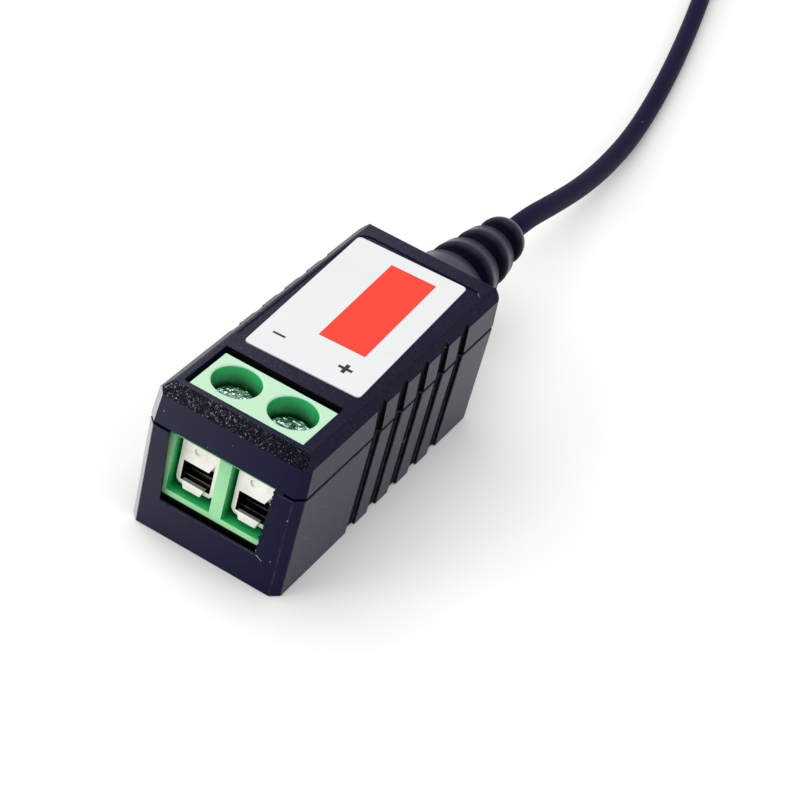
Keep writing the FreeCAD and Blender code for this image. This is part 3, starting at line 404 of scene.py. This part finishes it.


# The case: two shells of black moulded plastic that snap together at the seam.
# Its brow has a coarse spark-eroded grain and the other faces a fine one. The left
# front chamfer is pale grey, a painted highlight from the light on the left, and the
# inside and the side grooves are a darker black, painted shade.

def eased_copy(source, name, ease, materials, body="balun"):
    """Object copied from a CAD node, its flats merged, and its sharp edges eased and marked as worn."""
    merge_within = 2e-6
    flat_below = math.radians(0.6)
    smooth_below = math.radians(35)
    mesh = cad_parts[source].data.copy()
    mesh.name = name
    mesh.materials.clear()
    for made in materials:
        mesh.materials.append(made)
    work = bmesh.new()
    work.from_mesh(mesh)
    work.faces.layers.float.new("worn")
    bmesh.ops.remove_doubles(work, verts=work.verts, dist=merge_within)
    bmesh.ops.dissolve_limit(work, angle_limit=flat_below, verts=work.verts, edges=work.edges)
    for edge in work.edges:
        edge.smooth = edge.is_manifold and edge.calc_face_angle(0) < smooth_below
    sharp = [edge for edge in work.edges if not edge.smooth]
    eased = bmesh.ops.bevel(work, geom=sharp, offset=ease, offset_type="OFFSET", segments=2, profile=0.5,
                            affect="EDGES", clamp_overlap=True)
    worn = work.faces.layers.float["worn"]
    for face in eased["faces"]:
        face[worn] = 1.0
    for face in work.faces:
        face.smooth = True
    work.to_mesh(mesh)
    work.free()
    made = placed(name, mesh)
    flats = made.modifiers.new("flat_faces", "WEIGHTED_NORMAL")
    flats.keep_sharp = True
    flats.weight = 100
    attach(made, body)
    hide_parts(source)
    return made


def spark_grain():
    """Group for a coarse spark-eroded mould face: crinkled relief and the crests of its grain."""
    sizes = {"Grain Size": 0.0002, "Crest Share": 0.3}
    group, given, out = shader_group("spark_grain", sizes, ("Relief", "Crests"))
    place = object_place(group)
    scale = reckon(group, "DIVIDE", 1.0, given["Grain Size"])
    crinkle = node(group, "ShaderNodeTexNoise", in_Vector=place, in_Scale=scale, in_Detail=3.0,
                   in_Roughness=0.65, in_Distortion=1.2).outputs["Fac"]
    folds = node(group, "ShaderNodeTexVoronoi", feature="DISTANCE_TO_EDGE", in_Vector=place, in_Scale=scale,
                 in_Randomness=1.0)
    ridge = ranged(group, folds.outputs["Distance"], (0.12, 0.02))
    gate = reckon(group, "SUBTRACT", 0.72, given["Crest Share"])
    let_through = ranged(group, crinkle, (gate, reckon(group, "ADD", gate, 0.1)))
    feed(out, "Crests", reckon(group, "MULTIPLY", ridge, let_through))
    feed(out, "Relief", reckon(group, "MULTIPLY_ADD", ridge, 0.5, crinkle))
    return group


spark_grain_group = spark_grain()
fade_span = (-0.006, 0.006)


def object_axis(tree, axis):
    """Socket with a point's place along one axis of its own object."""
    return node(tree, "ShaderNodeSeparateXYZ", in_0=object_place(tree)).outputs[axis]


def painted_sheen_fade(made, strong, weak):
    """Give a face a clear gloss that thins out towards the right: a painted sheen, as the light falls
    stronger from the left.
    """
    tree = made.node_tree
    shader = tree.nodes["Principled BSDF"]
    feed(shader, "Coat Roughness", 0.36)
    feed(shader, "Coat Weight", ranged(tree, object_axis(tree, "X"), fade_span, (strong, weak)))


def eroded_material(name, colour, roughness, grain_size, depth, crest_share, glint_colour, sheen):
    """Black plastic from a spark-eroded mould face, with painted glints on the crests of its grain that are
    fainter to the right.
    """
    made, shader = plain_material(name, colour, roughness)
    tree = made.node_tree
    uneven = 0.1
    grain = node(tree, "ShaderNodeGroup", node_tree=spark_grain_group, in_Grain_Size=grain_size,
                 in_Crest_Share=crest_share).outputs
    fade = ranged(tree, object_axis(tree, "X"), fade_span, (1.0, 0.3))
    faded_glints = reckon(tree, "MULTIPLY", grain["Crests"], fade)
    feed(shader, "Specular IOR Level", sheen)
    feed(shader, "Base Color", mixed(tree, faded_glints, colour, glint_colour))
    feed(shader, "Roughness", ranged(tree, grain["Crests"], onto=(roughness + uneven, roughness - uneven)))
    emboss(shader, grain["Relief"], depth)
    return made


case_black = (0.004, 0.004, 0.027)
case_plastic = moulded_material("case_plastic", case_black, roughness=0.36, grain_size=0.00022, depth=0.00001,
                                sheen=0.22, worn=(0.035, 0.035, 0.05), speck_spacing=0.0016, speck_size=0.045,
                                speck_colour=(0.2, 0.2, 0.28))
case_front = moulded_material("case_front", case_black, roughness=0.5, grain_size=0.00022, depth=0.00001,
                              sheen=0.02, worn=(0.03, 0.03, 0.045), speck_spacing=0.0008, speck_size=0.08,
                              speck_colour=(0.3, 0.3, 0.4))
# The left front chamfer's pale grey is a painted highlight.
case_chamfer_highlight = moulded_material("case_chamfer_highlight", (0.27, 0.27, 0.275), roughness=0.16, grain_size=0.00012,
                                depth=0.00001, sheen=1.0, worn=(0.15, 0.15, 0.17))
# A darker black for the shells' inside and the side grooves: painted shade.
case_inside_shade = moulded_material("case_inside_shade", (0.0015, 0.0015, 0.003), roughness=0.7, grain_size=0.0003,
                               depth=0.00001, sheen=0.1)
# The pale crests of the top's and brow's grain are painted glints.
top_plastic = eroded_material("case_top_plastic", (0.003, 0.003, 0.02), roughness=0.5, grain_size=0.00014,
                              depth=0.00004, crest_share=0.2, glint_colour=(0.1, 0.1, 0.14), sheen=0.05)
brow_plastic = eroded_material("case_brow_plastic", (0.001, 0.001, 0.006), roughness=0.5, grain_size=0.00019,
                               depth=0.0001, crest_share=0.19, glint_colour=(0.5, 0.5, 0.62), sheen=0.02)
# The front, top and brow get a clear gloss that thins to the right: a painted sheen.
painted_sheen_fade(case_front, strong=0.55, weak=0.15)
painted_sheen_fade(top_plastic, strong=0.6, weak=0.15)
painted_sheen_fade(brow_plastic, strong=0.12, weak=0.04)
case_finishes = (case_plastic, case_inside_shade, top_plastic, brow_plastic, case_chamfer_highlight, case_front)
plain, inside, top, brow, chamfer, front = range(6)
case_ease = 0.00008
case_shell = eased_copy("bottom_case", "case_shell", case_ease, case_finishes)
case_lid = eased_copy("top_cover", "case_lid", case_ease, case_finishes)
shell_low, shell_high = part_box("bottom_case")
lid_low, lid_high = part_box("top_cover")
block_low, block_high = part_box("terminal_housing")
brow_height = 0.00086
brow_back = lid_low.y + 0.0015
shell_wall, shell_skin = 0.0009, 0.0003
lid_wall, lid_end, lid_skin = 0.0016, 0.0004, 0.0002
slack = 0.00002
groove_floor = shell_high.x - 0.00038
groove_slack, groove_reach = 0.00003, 0.0001
first_groove = shell_low.y + 0.01055
last_groove = shell_low.y + 0.0256


def in_groove(face):
    """Whether a face is a floor or a wall of the grooves in the sides."""
    aside = abs(face.center.x)
    on_floor = abs(aside - groove_floor) < groove_slack and abs(face.normal.x) > 0.99
    on_wall = abs(face.normal.y) > 0.7 and aside > groove_floor - groove_reach
    return first_groove < face.center.y < last_groove and (on_floor or on_wall)


def outside_finish(face):
    """Finish of a face on the outside of either shell. A groove gets the inside's darker black, painted
    shade.
    """
    if in_groove(face):
        return inside
    # The left front chamfer gets the pale painted highlight.
    if face.normal.y < -0.4 and face.normal.x < -0.5:
        return chamfer
    if face.normal.y < -0.6:
        return front
    return plain


# Faces within the shells get the darker black: painted shade.
for face in case_shell.data.polygons:
    within = (abs(face.center.x) < shell_high.x - shell_wall and shell_low.y + shell_skin < face.center.y
              and face.center.y < shell_high.y - shell_skin and face.center.z > shell_low.z + shell_skin)
    face.material_index = inside if within else outside_finish(face)
for face in case_lid.data.polygons:
    on_brow = face.center.z > lid_high.z - brow_height and face.center.y < brow_back + slack
    within = abs(face.center.x) < lid_high.x - lid_wall and face.center.y > lid_low.y + lid_end
    if on_brow and face.normal.z > 0.3:
        face.material_index = brow
    elif face.normal.z > 0.5:
        face.material_index = top
    elif within and face.center.z < lid_high.z - lid_skin and face.normal.z < 0.5:
        face.material_index = inside
    else:
        face.material_index = outside_finish(face)


# The label: glossy white film printed in black and red, stuck into the recess by
# hand, a little askew.

label_centre = (-0.00026, 0.00375)
label_turn = math.radians(2.6)
label_white = (0.655, 0.67, 0.668)
label_red = (0.76, 0.03, 0.009)
label_ink = (0.012, 0.012, 0.014)
film, film_shader = plain_material("label_film", label_white, 0.34)


def printed_block():
    """Group for one printed rectangle: 1 inside it, 0 outside."""
    places = {"Place": None, "Middle": None, "Half Size": None}
    group, given, out = shader_group("printed_block", places, ("Ink",))
    offset = node(group, "ShaderNodeVectorMath", operation="SUBTRACT", in_0=given["Place"],
                  in_1=given["Middle"])
    size = node(group, "ShaderNodeVectorMath", operation="ABSOLUTE", in_0=offset.outputs[0])
    room_left = node(group, "ShaderNodeVectorMath", operation="SUBTRACT", in_0=given["Half Size"],
                     in_1=size.outputs[0])
    parts = node(group, "ShaderNodeSeparateXYZ", in_0=room_left.outputs[0]).outputs
    feed(out, "Ink", reckon(group, "GREATER_THAN", reckon(group, "MINIMUM", parts["X"], parts["Y"]), 0.0))
    return group


printed_block_group = printed_block()


def painted_block(place, under, colour, middle, half_size):
    """Socket with one rectangle of colour laid over the colour under it."""
    tree = place.id_data
    block = node(tree, "ShaderNodeGroup", node_tree=printed_block_group, in_Place=place,
                 in_Middle=(*middle, 0), in_Half_Size=(*half_size, 1))
    return mixed(tree, block.outputs["Ink"], under, colour)


film_tree = film.node_tree
film_turn = node(film_tree, "ShaderNodeMapping", vector_type="TEXTURE", in_Vector=object_place(film_tree),
                 in_Location=(*label_centre, 0), in_Rotation=(0, 0, label_turn)).outputs["Vector"]
film_grain = node(film_tree, "ShaderNodeGroup", node_tree=mould_grain_group, in_Grain_Size=0.0005,
                  in_Speck_Spacing=0.0028, in_Speck_Size=0.012).outputs
red_block = ((0.00096, 0.00159), (0.00211, 0.00637))
plus_across = ((0.00259, -0.00718), (0.00062, 0.00017))
plus_along = ((0.00259, -0.00718), (0.00017, 0.00062))
minus = ((-0.00345, -0.00703), (0.00056, 0.00013))
print_so_far = mixed(film_tree, film_grain["Shading"], toned(label_white, 0.95), toned(label_white, 1.04))
print_so_far = painted_block(film_turn, print_so_far, label_red, *red_block)
for bar in (plus_across, plus_along, minus):
    print_so_far = painted_block(film_turn, print_so_far, label_ink, *bar)
feed(film_shader, "Base Color", mixed(film_tree, film_grain["Specks"], print_so_far, (0.08, 0.07, 0.06)))
emboss(film_shader, film_grain["Relief"], depth=0.000006, strength=0.6)
coat_node("label", film)


# Flash: the thin black skin that squeezed out of the mould along the right edge
# of the wire window, left untrimmed, its torn rim and one whisker stressed pale.

window_foot = 0.00315
edge_at_foot, edge_lean = 0.00455, 0.053
front_at_foot, front_lean = -0.015525, 0.0106
flash_foot, flash_head = 0.00316, 0.01006
flash_width = 0.00030
flash_depth = 0.00012
flash_steps = 66
rim_front, rim_back = 0.00005, 0.00003
ragged = (-0.00004, 0.00007)
tooth_length = 0.00013
tooth_start, tooth_end = 0.12, 0.5
tooth_spacing, first_tooth = 7, 3
corner_foot, corner_reach = 0.0098, 0.0005


def window_edge(up):
    """How far to the right the window's edge lies at a height."""
    return edge_at_foot + (up - window_foot) * edge_lean


flash_chance = random.Random(11)
flash_rings = []
for step in range(flash_steps + 1):
    up = flash_foot + (flash_head - flash_foot) * step / flash_steps
    edge_x = window_edge(up)
    face_y = front_at_foot - (up - window_foot) * front_lean
    rim_x = edge_x - flash_width - flash_chance.uniform(*ragged)
    if tooth_start < step / flash_steps < tooth_end and step % tooth_spacing == first_tooth:
        rim_x -= tooth_length
    if up > corner_foot:
        edge_x += corner_reach
    back_y = face_y + flash_depth
    flash_rings.append([(edge_x, face_y, up), ((edge_x + rim_x) / 2, face_y, up),
                        (rim_x + rim_front, face_y, up), (rim_x, face_y + flash_depth / 2, up),
                        (rim_x + rim_back, back_y, up), (edge_x, back_y, up)])
flash_points = [point for ring in flash_rings for point in ring]
around = len(flash_rings[0])
flash_faces = [tuple(range(around)), tuple(reversed(range(around * flash_steps, len(flash_points))))]
for step in range(flash_steps):
    for side in range(around):
        near, far = around * step + side, around * step + (side + 1) % around
        flash_faces.append((near, near + around, far + around, far))
whisker = [(0.00440, -0.01551, 0.00322), (0.00440, -0.01551, 0.00314), (0.00440, -0.01556, 0.00318),
           (0.00496, -0.01552, 0.00292), (0.00496, -0.01552, 0.00289), (0.00496, -0.01555, 0.00290)]
whisker_sides = ((0, 1, 2), (3, 5, 4), (0, 3, 4, 1), (1, 4, 5, 2), (2, 5, 3, 0))
whisker_start = len(flash_points)
flash_points += whisker
flash_faces += [tuple(whisker_start + corner for corner in corners) for corners in whisker_sides]
flash_mesh = bpy.data.meshes.new("window_flash")
flash_mesh.from_pydata(flash_points, [], flash_faces)
flash_work = bmesh.new()
flash_work.from_mesh(flash_mesh)
bmesh.ops.recalc_face_normals(flash_work, faces=flash_work.faces)
flash_work.to_mesh(flash_mesh)
flash_work.free()
window_flash = placed("window_flash", flash_mesh)
stressed_below, stressed_share = 0.0060, 0.3
whisker_wear, rim_wear = 1.6, 1.3
flash_torn = flash_mesh.attributes.new("worn", "FLOAT", "FACE")
for face in flash_mesh.polygons:
    at_rim = face.center.x < window_edge(face.center.z) - flash_width + slack
    on_whisker = min(face.vertices) >= whisker_start
    low_down = face.center.z < stressed_below and flash_chance.random() < stressed_share
    flash_torn.data[face.index].value = whisker_wear if on_whisker else rim_wear * (at_rim and low_down)
torn_plastic = moulded_material("torn_plastic", case_black, roughness=0.5, grain_size=0.00022, depth=0.00001,
                                sheen=0.02, worn=(0.75, 0.75, 0.78))
flash_mesh.materials.append(torn_plastic)
# Its gloss thins to the right like the front's: a painted sheen.
painted_sheen_fade(torn_plastic, strong=0.55, weak=0.15)
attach(window_flash, "balun")


# The terminal block: translucent green polyamide, soldered to the board, with two
# wells for a screwdriver over two entries for wire. Its pale top and lighter front
# are a painted highlight, its walls darken with depth as painted shade, and its foot
# is black as the painted shadow of a gap wider than the solids leave.

# The top's pale mint and the front's lighter green are lit copies of the green: a painted highlight.
block_lit_top = (0.44, 0.65, 0.47)
block_green = (0.02, 0.52, 0.14)
block_shaded = (0.0, 0.035, 0.008)
block_lit_front = (0.33, 0.7, 0.36)
block_speck = (0.12, 0.25, 0.14)
lit_top_face = moulded_material("terminal_face", block_lit_top, roughness=0.35, grain_size=0.0005, depth=0.000005,
                             shade=0.06, worn=(0.9, 0.95, 0.78), speck_spacing=0.0022, speck_size=0.03,
                             speck_colour=block_speck)
lit_front_face = moulded_material("terminal_front", block_lit_front, roughness=0.35, grain_size=0.0005,
                              depth=0.000005, shade=0.25, worn=(0.6, 0.8, 0.45), speck_spacing=0.0022,
                              speck_size=0.03, speck_colour=block_speck)
green_wall, wall_shader = plain_material("terminal_wall", block_green, 0.34)
wall_tree = green_wall.node_tree
# Painted shade: the green darkens with depth into the wells and entries.
dark_from = 0.0022
under_top = reckon(wall_tree, "SUBTRACT", block_high.z, object_axis(wall_tree, "Z"))
behind_front = reckon(wall_tree, "SUBTRACT", object_axis(wall_tree, "Y"), block_low.y)
wall_shade = ranged(wall_tree, reckon(wall_tree, "MINIMUM", under_top, behind_front), (0.0, dark_from),
                    interpolation_type="SMOOTHSTEP")
wall_tone = mixed(wall_tree, wall_shade, block_green, block_shaded)
wall_grain = node(wall_tree, "ShaderNodeGroup", node_tree=mould_grain_group, in_Grain_Size=0.0007)
# Its edges are pale in patches: wear, and on the well rims a painted highlight.
wall_wear_and_highlight = worn_edges(wall_tree, patch_size=0.0008, share=0.8)
feed(wall_shader, "Base Color", mixed(wall_tree, wall_wear_and_highlight, wall_tone, (0.75, 0.85, 0.62)))
feed(wall_shader, "Coat Weight", 0.35)
feed(wall_shader, "Coat Roughness", 0.22)
emboss(wall_shader, wall_grain.outputs["Relief"], depth=0.00003)
# Painted shadow: the block's lowest part goes black, as a gap under it would look.
gap_shadow_span = (block_low.z + 0.00042, block_low.z + 0.00034)


def paint_gap_shadow(made):
    """Colour the foot of the block black: painted shadow of a gap below it, wider than the solids leave."""
    tree = made.node_tree
    shader = tree.nodes["Principled BSDF"]
    clean = shader.inputs["Base Color"].links[0].from_socket
    foot = ranged(tree, object_axis(tree, "Z"), gap_shadow_span)
    feed(shader, "Base Color", mixed(tree, foot, clean, (0.001, 0.002, 0.001)))


paint_gap_shadow(lit_front_face)
paint_gap_shadow(green_wall)
block_finishes = (green_wall, lit_top_face, lit_front_face)
terminal_block = eased_copy("terminal_housing", "terminal_block", ease=0.0001, materials=block_finishes)
top_band, front_band = 0.0001, 0.0002
for face in terminal_block.data.polygons:
    if face.center.z > block_high.z - top_band:
        face.material_index = block_finishes.index(lit_top_face)
    elif face.normal.y < -0.7 and face.center.y < block_low.y + front_band:
        face.material_index = block_finishes.index(lit_front_face)


# The clamp screws, zinc-plated steel with cross slots, and the folded nickel-plated
# cages that they lift against the contact bars. The screws' green tone and the
# cages' dark inside are colour that stands in for how light falls on them there.

def drawn_lines():
    """Group for drawn, turned or brushed metal: noise pulled out along the tool's path."""
    group, given, out = shader_group("drawn_lines", {"Lines Per Metre": None}, ("Lines", "Tarnish_And_Reflection"))
    place = object_place(group)
    pulled = node(group, "ShaderNodeVectorMath", operation="MULTIPLY", in_0=place,
                  in_1=given["Lines Per Metre"])
    lines = node(group, "ShaderNodeTexNoise", in_Vector=pulled.outputs[0], in_Scale=1.0, in_Detail=2.0)
    # Clouds of the second tone: tarnish, and on the screws a painted reflection.
    clouds = node(group, "ShaderNodeTexNoise", in_Vector=place, in_Scale=420.0, in_Detail=4.0,
                  in_Roughness=0.6)
    feed(out, "Lines", lines.outputs["Fac"])
    feed(out, "Tarnish_And_Reflection", clouds.outputs["Fac"])
    return group


drawn_lines_group = drawn_lines()


def metal_material(name, bright, dull, roughness, lines, depth, metallic=1.0):
    """Plated metal: two tones in clouds, with fine lines in its relief and its gloss."""
    made, shader = plain_material(name, bright, roughness, metallic)
    tree = made.node_tree
    marks = node(tree, "ShaderNodeGroup", node_tree=drawn_lines_group, in_Lines_Per_Metre=lines).outputs
    cloud = ranged(tree, marks["Tarnish_And_Reflection"], (0.42, 0.68))
    feed(shader, "Base Color", mixed(tree, cloud, bright, dull))
    feed(shader, "Roughness", ranged(tree, marks["Lines"], onto=(roughness - 0.07, roughness + 0.1)))
    emboss(shader, marks["Lines"], depth)
    return made


# The screws' dull teal is a painted reflection of the green block around them.
screw_zinc = metal_material("screw_zinc", (0.9, 0.98, 0.97), (0.03, 0.24, 0.18), roughness=0.16,
                            lines=(2600, 2600, 2600), depth=0.00018)
cage_nickel = metal_material("cage_nickel", (0.93, 0.91, 0.86), (0.78, 0.74, 0.66), roughness=0.42,
                             lines=(9000, 9000, 700), depth=0.000004, metallic=0.75)
# The cages' inner faces are near black: painted shade.
cage_inside_shade = metal_material("cage_inside", (0.03, 0.026, 0.022), (0.008, 0.007, 0.007), roughness=0.45,
                            lines=(9000, 700, 9000), depth=0.000004)
bar_tin = metal_material("bar_tin", (0.42, 0.38, 0.28), (0.1, 0.09, 0.07), roughness=0.4,
                         lines=(9000, 600, 9000), depth=0.000004)
cage_finishes = (cage_nickel, cage_inside_shade)
cage_front = 0.0005
inward = -0.00001
for end in ("left", "right"):
    screw = eased_copy(f"clamp_screw_{end}", f"cross_screw_{end}", ease=0.00005, materials=[screw_zinc],
                       body=f"screw_{end}")
    cage = eased_copy(f"wire_cage_{end}", f"lifting_cage_{end}", ease=0.00004,
                      materials=cage_finishes, body=f"cage_{end}")
    cage_low, cage_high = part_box(f"wire_cage_{end}")
    cage_middle = (cage_low + cage_high) / 2
    # Faces turned into the cage, behind its front, get the painted shade.
    for face in cage.data.polygons:
        out_from_middle = face.center - cage_middle
        faces_in = face.normal.x * out_from_middle.x + face.normal.z * out_from_middle.z < inward
        if faces_in and face.center.y > cage_low.y + cage_front:
            face.material_index = cage_finishes.index(cage_inside_shade)
    coat_node(f"contact_bar_{end}", bar_tin)


# The circuit board inside, with its ferrite transformer, surge suppressor, resistor
# and capacitor, and the cable's ends soldered to it. The board's front edge is
# coloured black as painted shade, where it would show green in the gap below the block.

board_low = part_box("circuit_board")[0]
board_green = (0.01, 0.14, 0.05)
board_mask, mask_shader = plain_material("board_mask", board_green, 0.3)
mask_tree = board_mask.node_tree
mask_place = object_place(mask_tree)
mask_weave = node(mask_tree, "ShaderNodeTexChecker", in_Vector=mask_place, in_Scale=1400.0,
                  in_Color1=(*board_green, 1), in_Color2=(0.014, 0.17, 0.06, 1)).outputs
emboss(mask_shader, mask_weave["Fac"], depth=0.00001, strength=0.4)
pad_tin = (0.45, 0.44, 0.4)
mask_colour = mask_weave["Color"]
for pad_place, pad_half in (((-0.0008, -0.0012), (0.0003, 0.0042)), ((0.0042, 0.0052), (0.0003, 0.0022)),
                            ((-0.0006, 0.0094), (0.0010, 0.0006)), ((0.0003, 0.0094), (0.0004, 0.0006))):
    mask_colour = painted_block(mask_place, mask_colour, pad_tin, pad_place, pad_half)
# Painted shade: the board's front edge is black in the gap below the block.
edge_depth = 0.00005
front_edge_shade = reckon(mask_tree, "LESS_THAN", object_axis(mask_tree, "Y"), board_low.y + edge_depth)
feed(mask_shader, "Base Color", mixed(mask_tree, front_edge_shade, mask_colour, (0.0015, 0.0012, 0.001)))
ferrite_grey = moulded_material("ferrite_grey", (0.045, 0.045, 0.05), roughness=0.6, grain_size=0.00025,
                                depth=0.00003, worn=(0.12, 0.12, 0.13), speck_spacing=0.0006, speck_size=0.1)
enamel_copper = metal_material("enamel_copper", (0.66, 0.25, 0.1), (0.42, 0.13, 0.05), roughness=0.3,
                               lines=(5000, 5000, 5000), depth=0.000006)
dipped_epoxy = moulded_material("dipped_epoxy", (0.42, 0.2, 0.04), roughness=0.32, grain_size=0.0009,
                                depth=0.00002, sheen=0.5, worn=(0.5, 0.3, 0.1))
moulded_epoxy = moulded_material("moulded_epoxy", (0.02, 0.02, 0.022), roughness=0.5, grain_size=0.0002,
                                 depth=0.00001, sheen=0.5, worn=(0.08, 0.08, 0.08))
resistor_low, resistor_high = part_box("resistor")
band_tan = (0.5, 0.36, 0.2)
band_brown = (0.22, 0.09, 0.03)
band_half = (0.02, 0.00012)
banded_body, band_shader = plain_material("banded_body", band_tan, 0.4)
band_place = object_place(banded_body.node_tree)
band_colour = band_tan
for band_at, band_paint in ((0.32, band_brown), (0.44, (0.01, 0.01, 0.01)), (0.56, band_brown),
                            (0.7, (0.5, 0.33, 0.08))):
    band_y = resistor_low.y + band_at * (resistor_high.y - resistor_low.y)
    band_colour = painted_block(band_place, band_colour, band_paint, (0, band_y), band_half)
feed(band_shader, "Base Color", band_colour)
coat_node("circuit_board", board_mask)
coat_node("ferrite_core", ferrite_grey)
for wound in ("winding_line", "winding_coax", "core_wire", "screen_wire"):
    coat_node(wound, enamel_copper)
coat_node("surge_suppressor", moulded_epoxy)
coat_node("resistor", banded_body)
coat_node("capacitor", dipped_epoxy)


# The bayonet plug: a fluted vinyl grip on a turned nickel-plated shell, with a
# gold-plated pin in a white insulator.

turning_lines = (300, 9000, 300)
plug_nickel = metal_material("plug_nickel", (0.74, 0.73, 0.7), (0.6, 0.58, 0.54), roughness=0.24,
                             lines=turning_lines, depth=0.000004)
pin_gold = metal_material("pin_gold", (0.93, 0.68, 0.27), (0.8, 0.52, 0.17), roughness=0.2,
                          lines=turning_lines, depth=0.000003)
insulator_white = moulded_material("insulator_white", (0.78, 0.77, 0.73), roughness=0.4, grain_size=0.0004,
                                   depth=0.000008, sheen=0.5, shade=0.04, worn=(0.85, 0.84, 0.8),
                                   speck_spacing=0.003)
gasket_rubber = moulded_material("gasket_rubber", (0.35, 0.05, 0.03), roughness=0.55, grain_size=0.0003,
                                 depth=0.00001, worn=(0.4, 0.1, 0.08))
plug_grip = eased_copy("plug_grip", "fluted_grip", ease=0.00015, materials=[relief_vinyl])
plug_shell = eased_copy("plug_shell", "turned_shell", ease=0.00006, materials=[plug_nickel])
coat_node("plug_insulator", insulator_white)
coat_node("plug_pin", pin_gold)
coat_node("plug_gasket", gasket_rubber)
coat_node("spring_washer", plug_nickel)


# The coupling ring: turned brass, nickel plated, that turns on the shell's neck. Its
# grip is knurled with straight ribs, rolled in after turning.

rib_count = 72
rib_rise = 0.00015
ring_low, ring_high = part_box("coupling_ring")
ring_middle = (ring_low + ring_high) / 2
ring_radius = (ring_high.x - ring_low.x) / 2
grip_length = 0.007
rib_end = 0.0006
coupling_ring = eased_copy("coupling_ring", "bayonet_ring", ease=0.0001, materials=[plug_nickel], body="ring")
for vertex in coupling_ring.data.vertices:
    across = Vector((vertex.co.x - ring_middle.x, 0, vertex.co.z - ring_middle.z))
    if across.length > ring_radius - rib_rise:
        vertex.co -= across.normalized() * (across.length - ring_radius + rib_rise)


def rib_tree():
    """Geometry Nodes tree for straight ribs set evenly around a ring's grip."""
    tree = bpy.data.node_groups.new("ring_ribs", "GeometryNodeTree")
    face = tree.interface
    face.new_socket("Geometry", in_out="OUTPUT", socket_type="NodeSocketGeometry")
    for title, kind in (("Count", "Int"), ("Ring Radius", "Float"), ("Rib Radius", "Float"),
                        ("Rib Length", "Float"), ("Middle", "Vector"), ("Metal", "Material")):
        face.new_socket(title, in_out="INPUT", socket_type="NodeSocket" + kind)
    given = node(tree, "NodeGroupInput").outputs
    circle = node(tree, "GeometryNodeMeshCircle", in_Vertices=given["Count"], in_Radius=given["Ring Radius"])
    rib = node(tree, "GeometryNodeMeshCylinder", fill_type="NGON", in_Vertices=8,
               in_Radius=given["Rib Radius"], in_Depth=given["Rib Length"])
    spread = node(tree, "GeometryNodeInstanceOnPoints", in_Points=circle.outputs["Mesh"],
                  in_Instance=rib.outputs["Mesh"])
    lay_down = node(tree, "GeometryNodeTransform", in_Geometry=spread.outputs["Instances"],
                    in_Translation=given["Middle"], in_Rotation=(math.radians(90), 0, 0))
    real = node(tree, "GeometryNodeRealizeInstances", in_Geometry=lay_down.outputs["Geometry"])
    metal = node(tree, "GeometryNodeSetMaterial", in_Geometry=real.outputs["Geometry"],
                 in_Material=given["Metal"])
    node(tree, "NodeGroupOutput", in_Geometry=metal.outputs["Geometry"])
    return tree


rib_sizes = {"Count": rib_count, "Ring Radius": ring_radius - rib_rise, "Rib Radius": rib_rise,
             "Rib Length": grip_length - 2 * rib_end,
             "Middle": (ring_middle.x, ring_low.y + grip_length / 2, ring_middle.z), "Metal": plug_nickel}
ring_ribs = placed("ring_ribs", bpy.data.meshes.new("ring_ribs"))
ribbing = ring_ribs.modifiers.new("ribs", "NODES")
ribbing.node_group = rib_tree()
for socket in ribbing.node_group.interface.items_tree:
    if socket.in_out == "INPUT":
        ribbing[socket.identifier] = rib_sizes[socket.name]
grown = bpy.context.evaluated_depsgraph_get()
ring_ribs.data = bpy.data.meshes.new_from_object(ring_ribs.evaluated_get(grown), depsgraph=grown)
ring_ribs.modifiers.clear()
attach(ring_ribs, "ring")
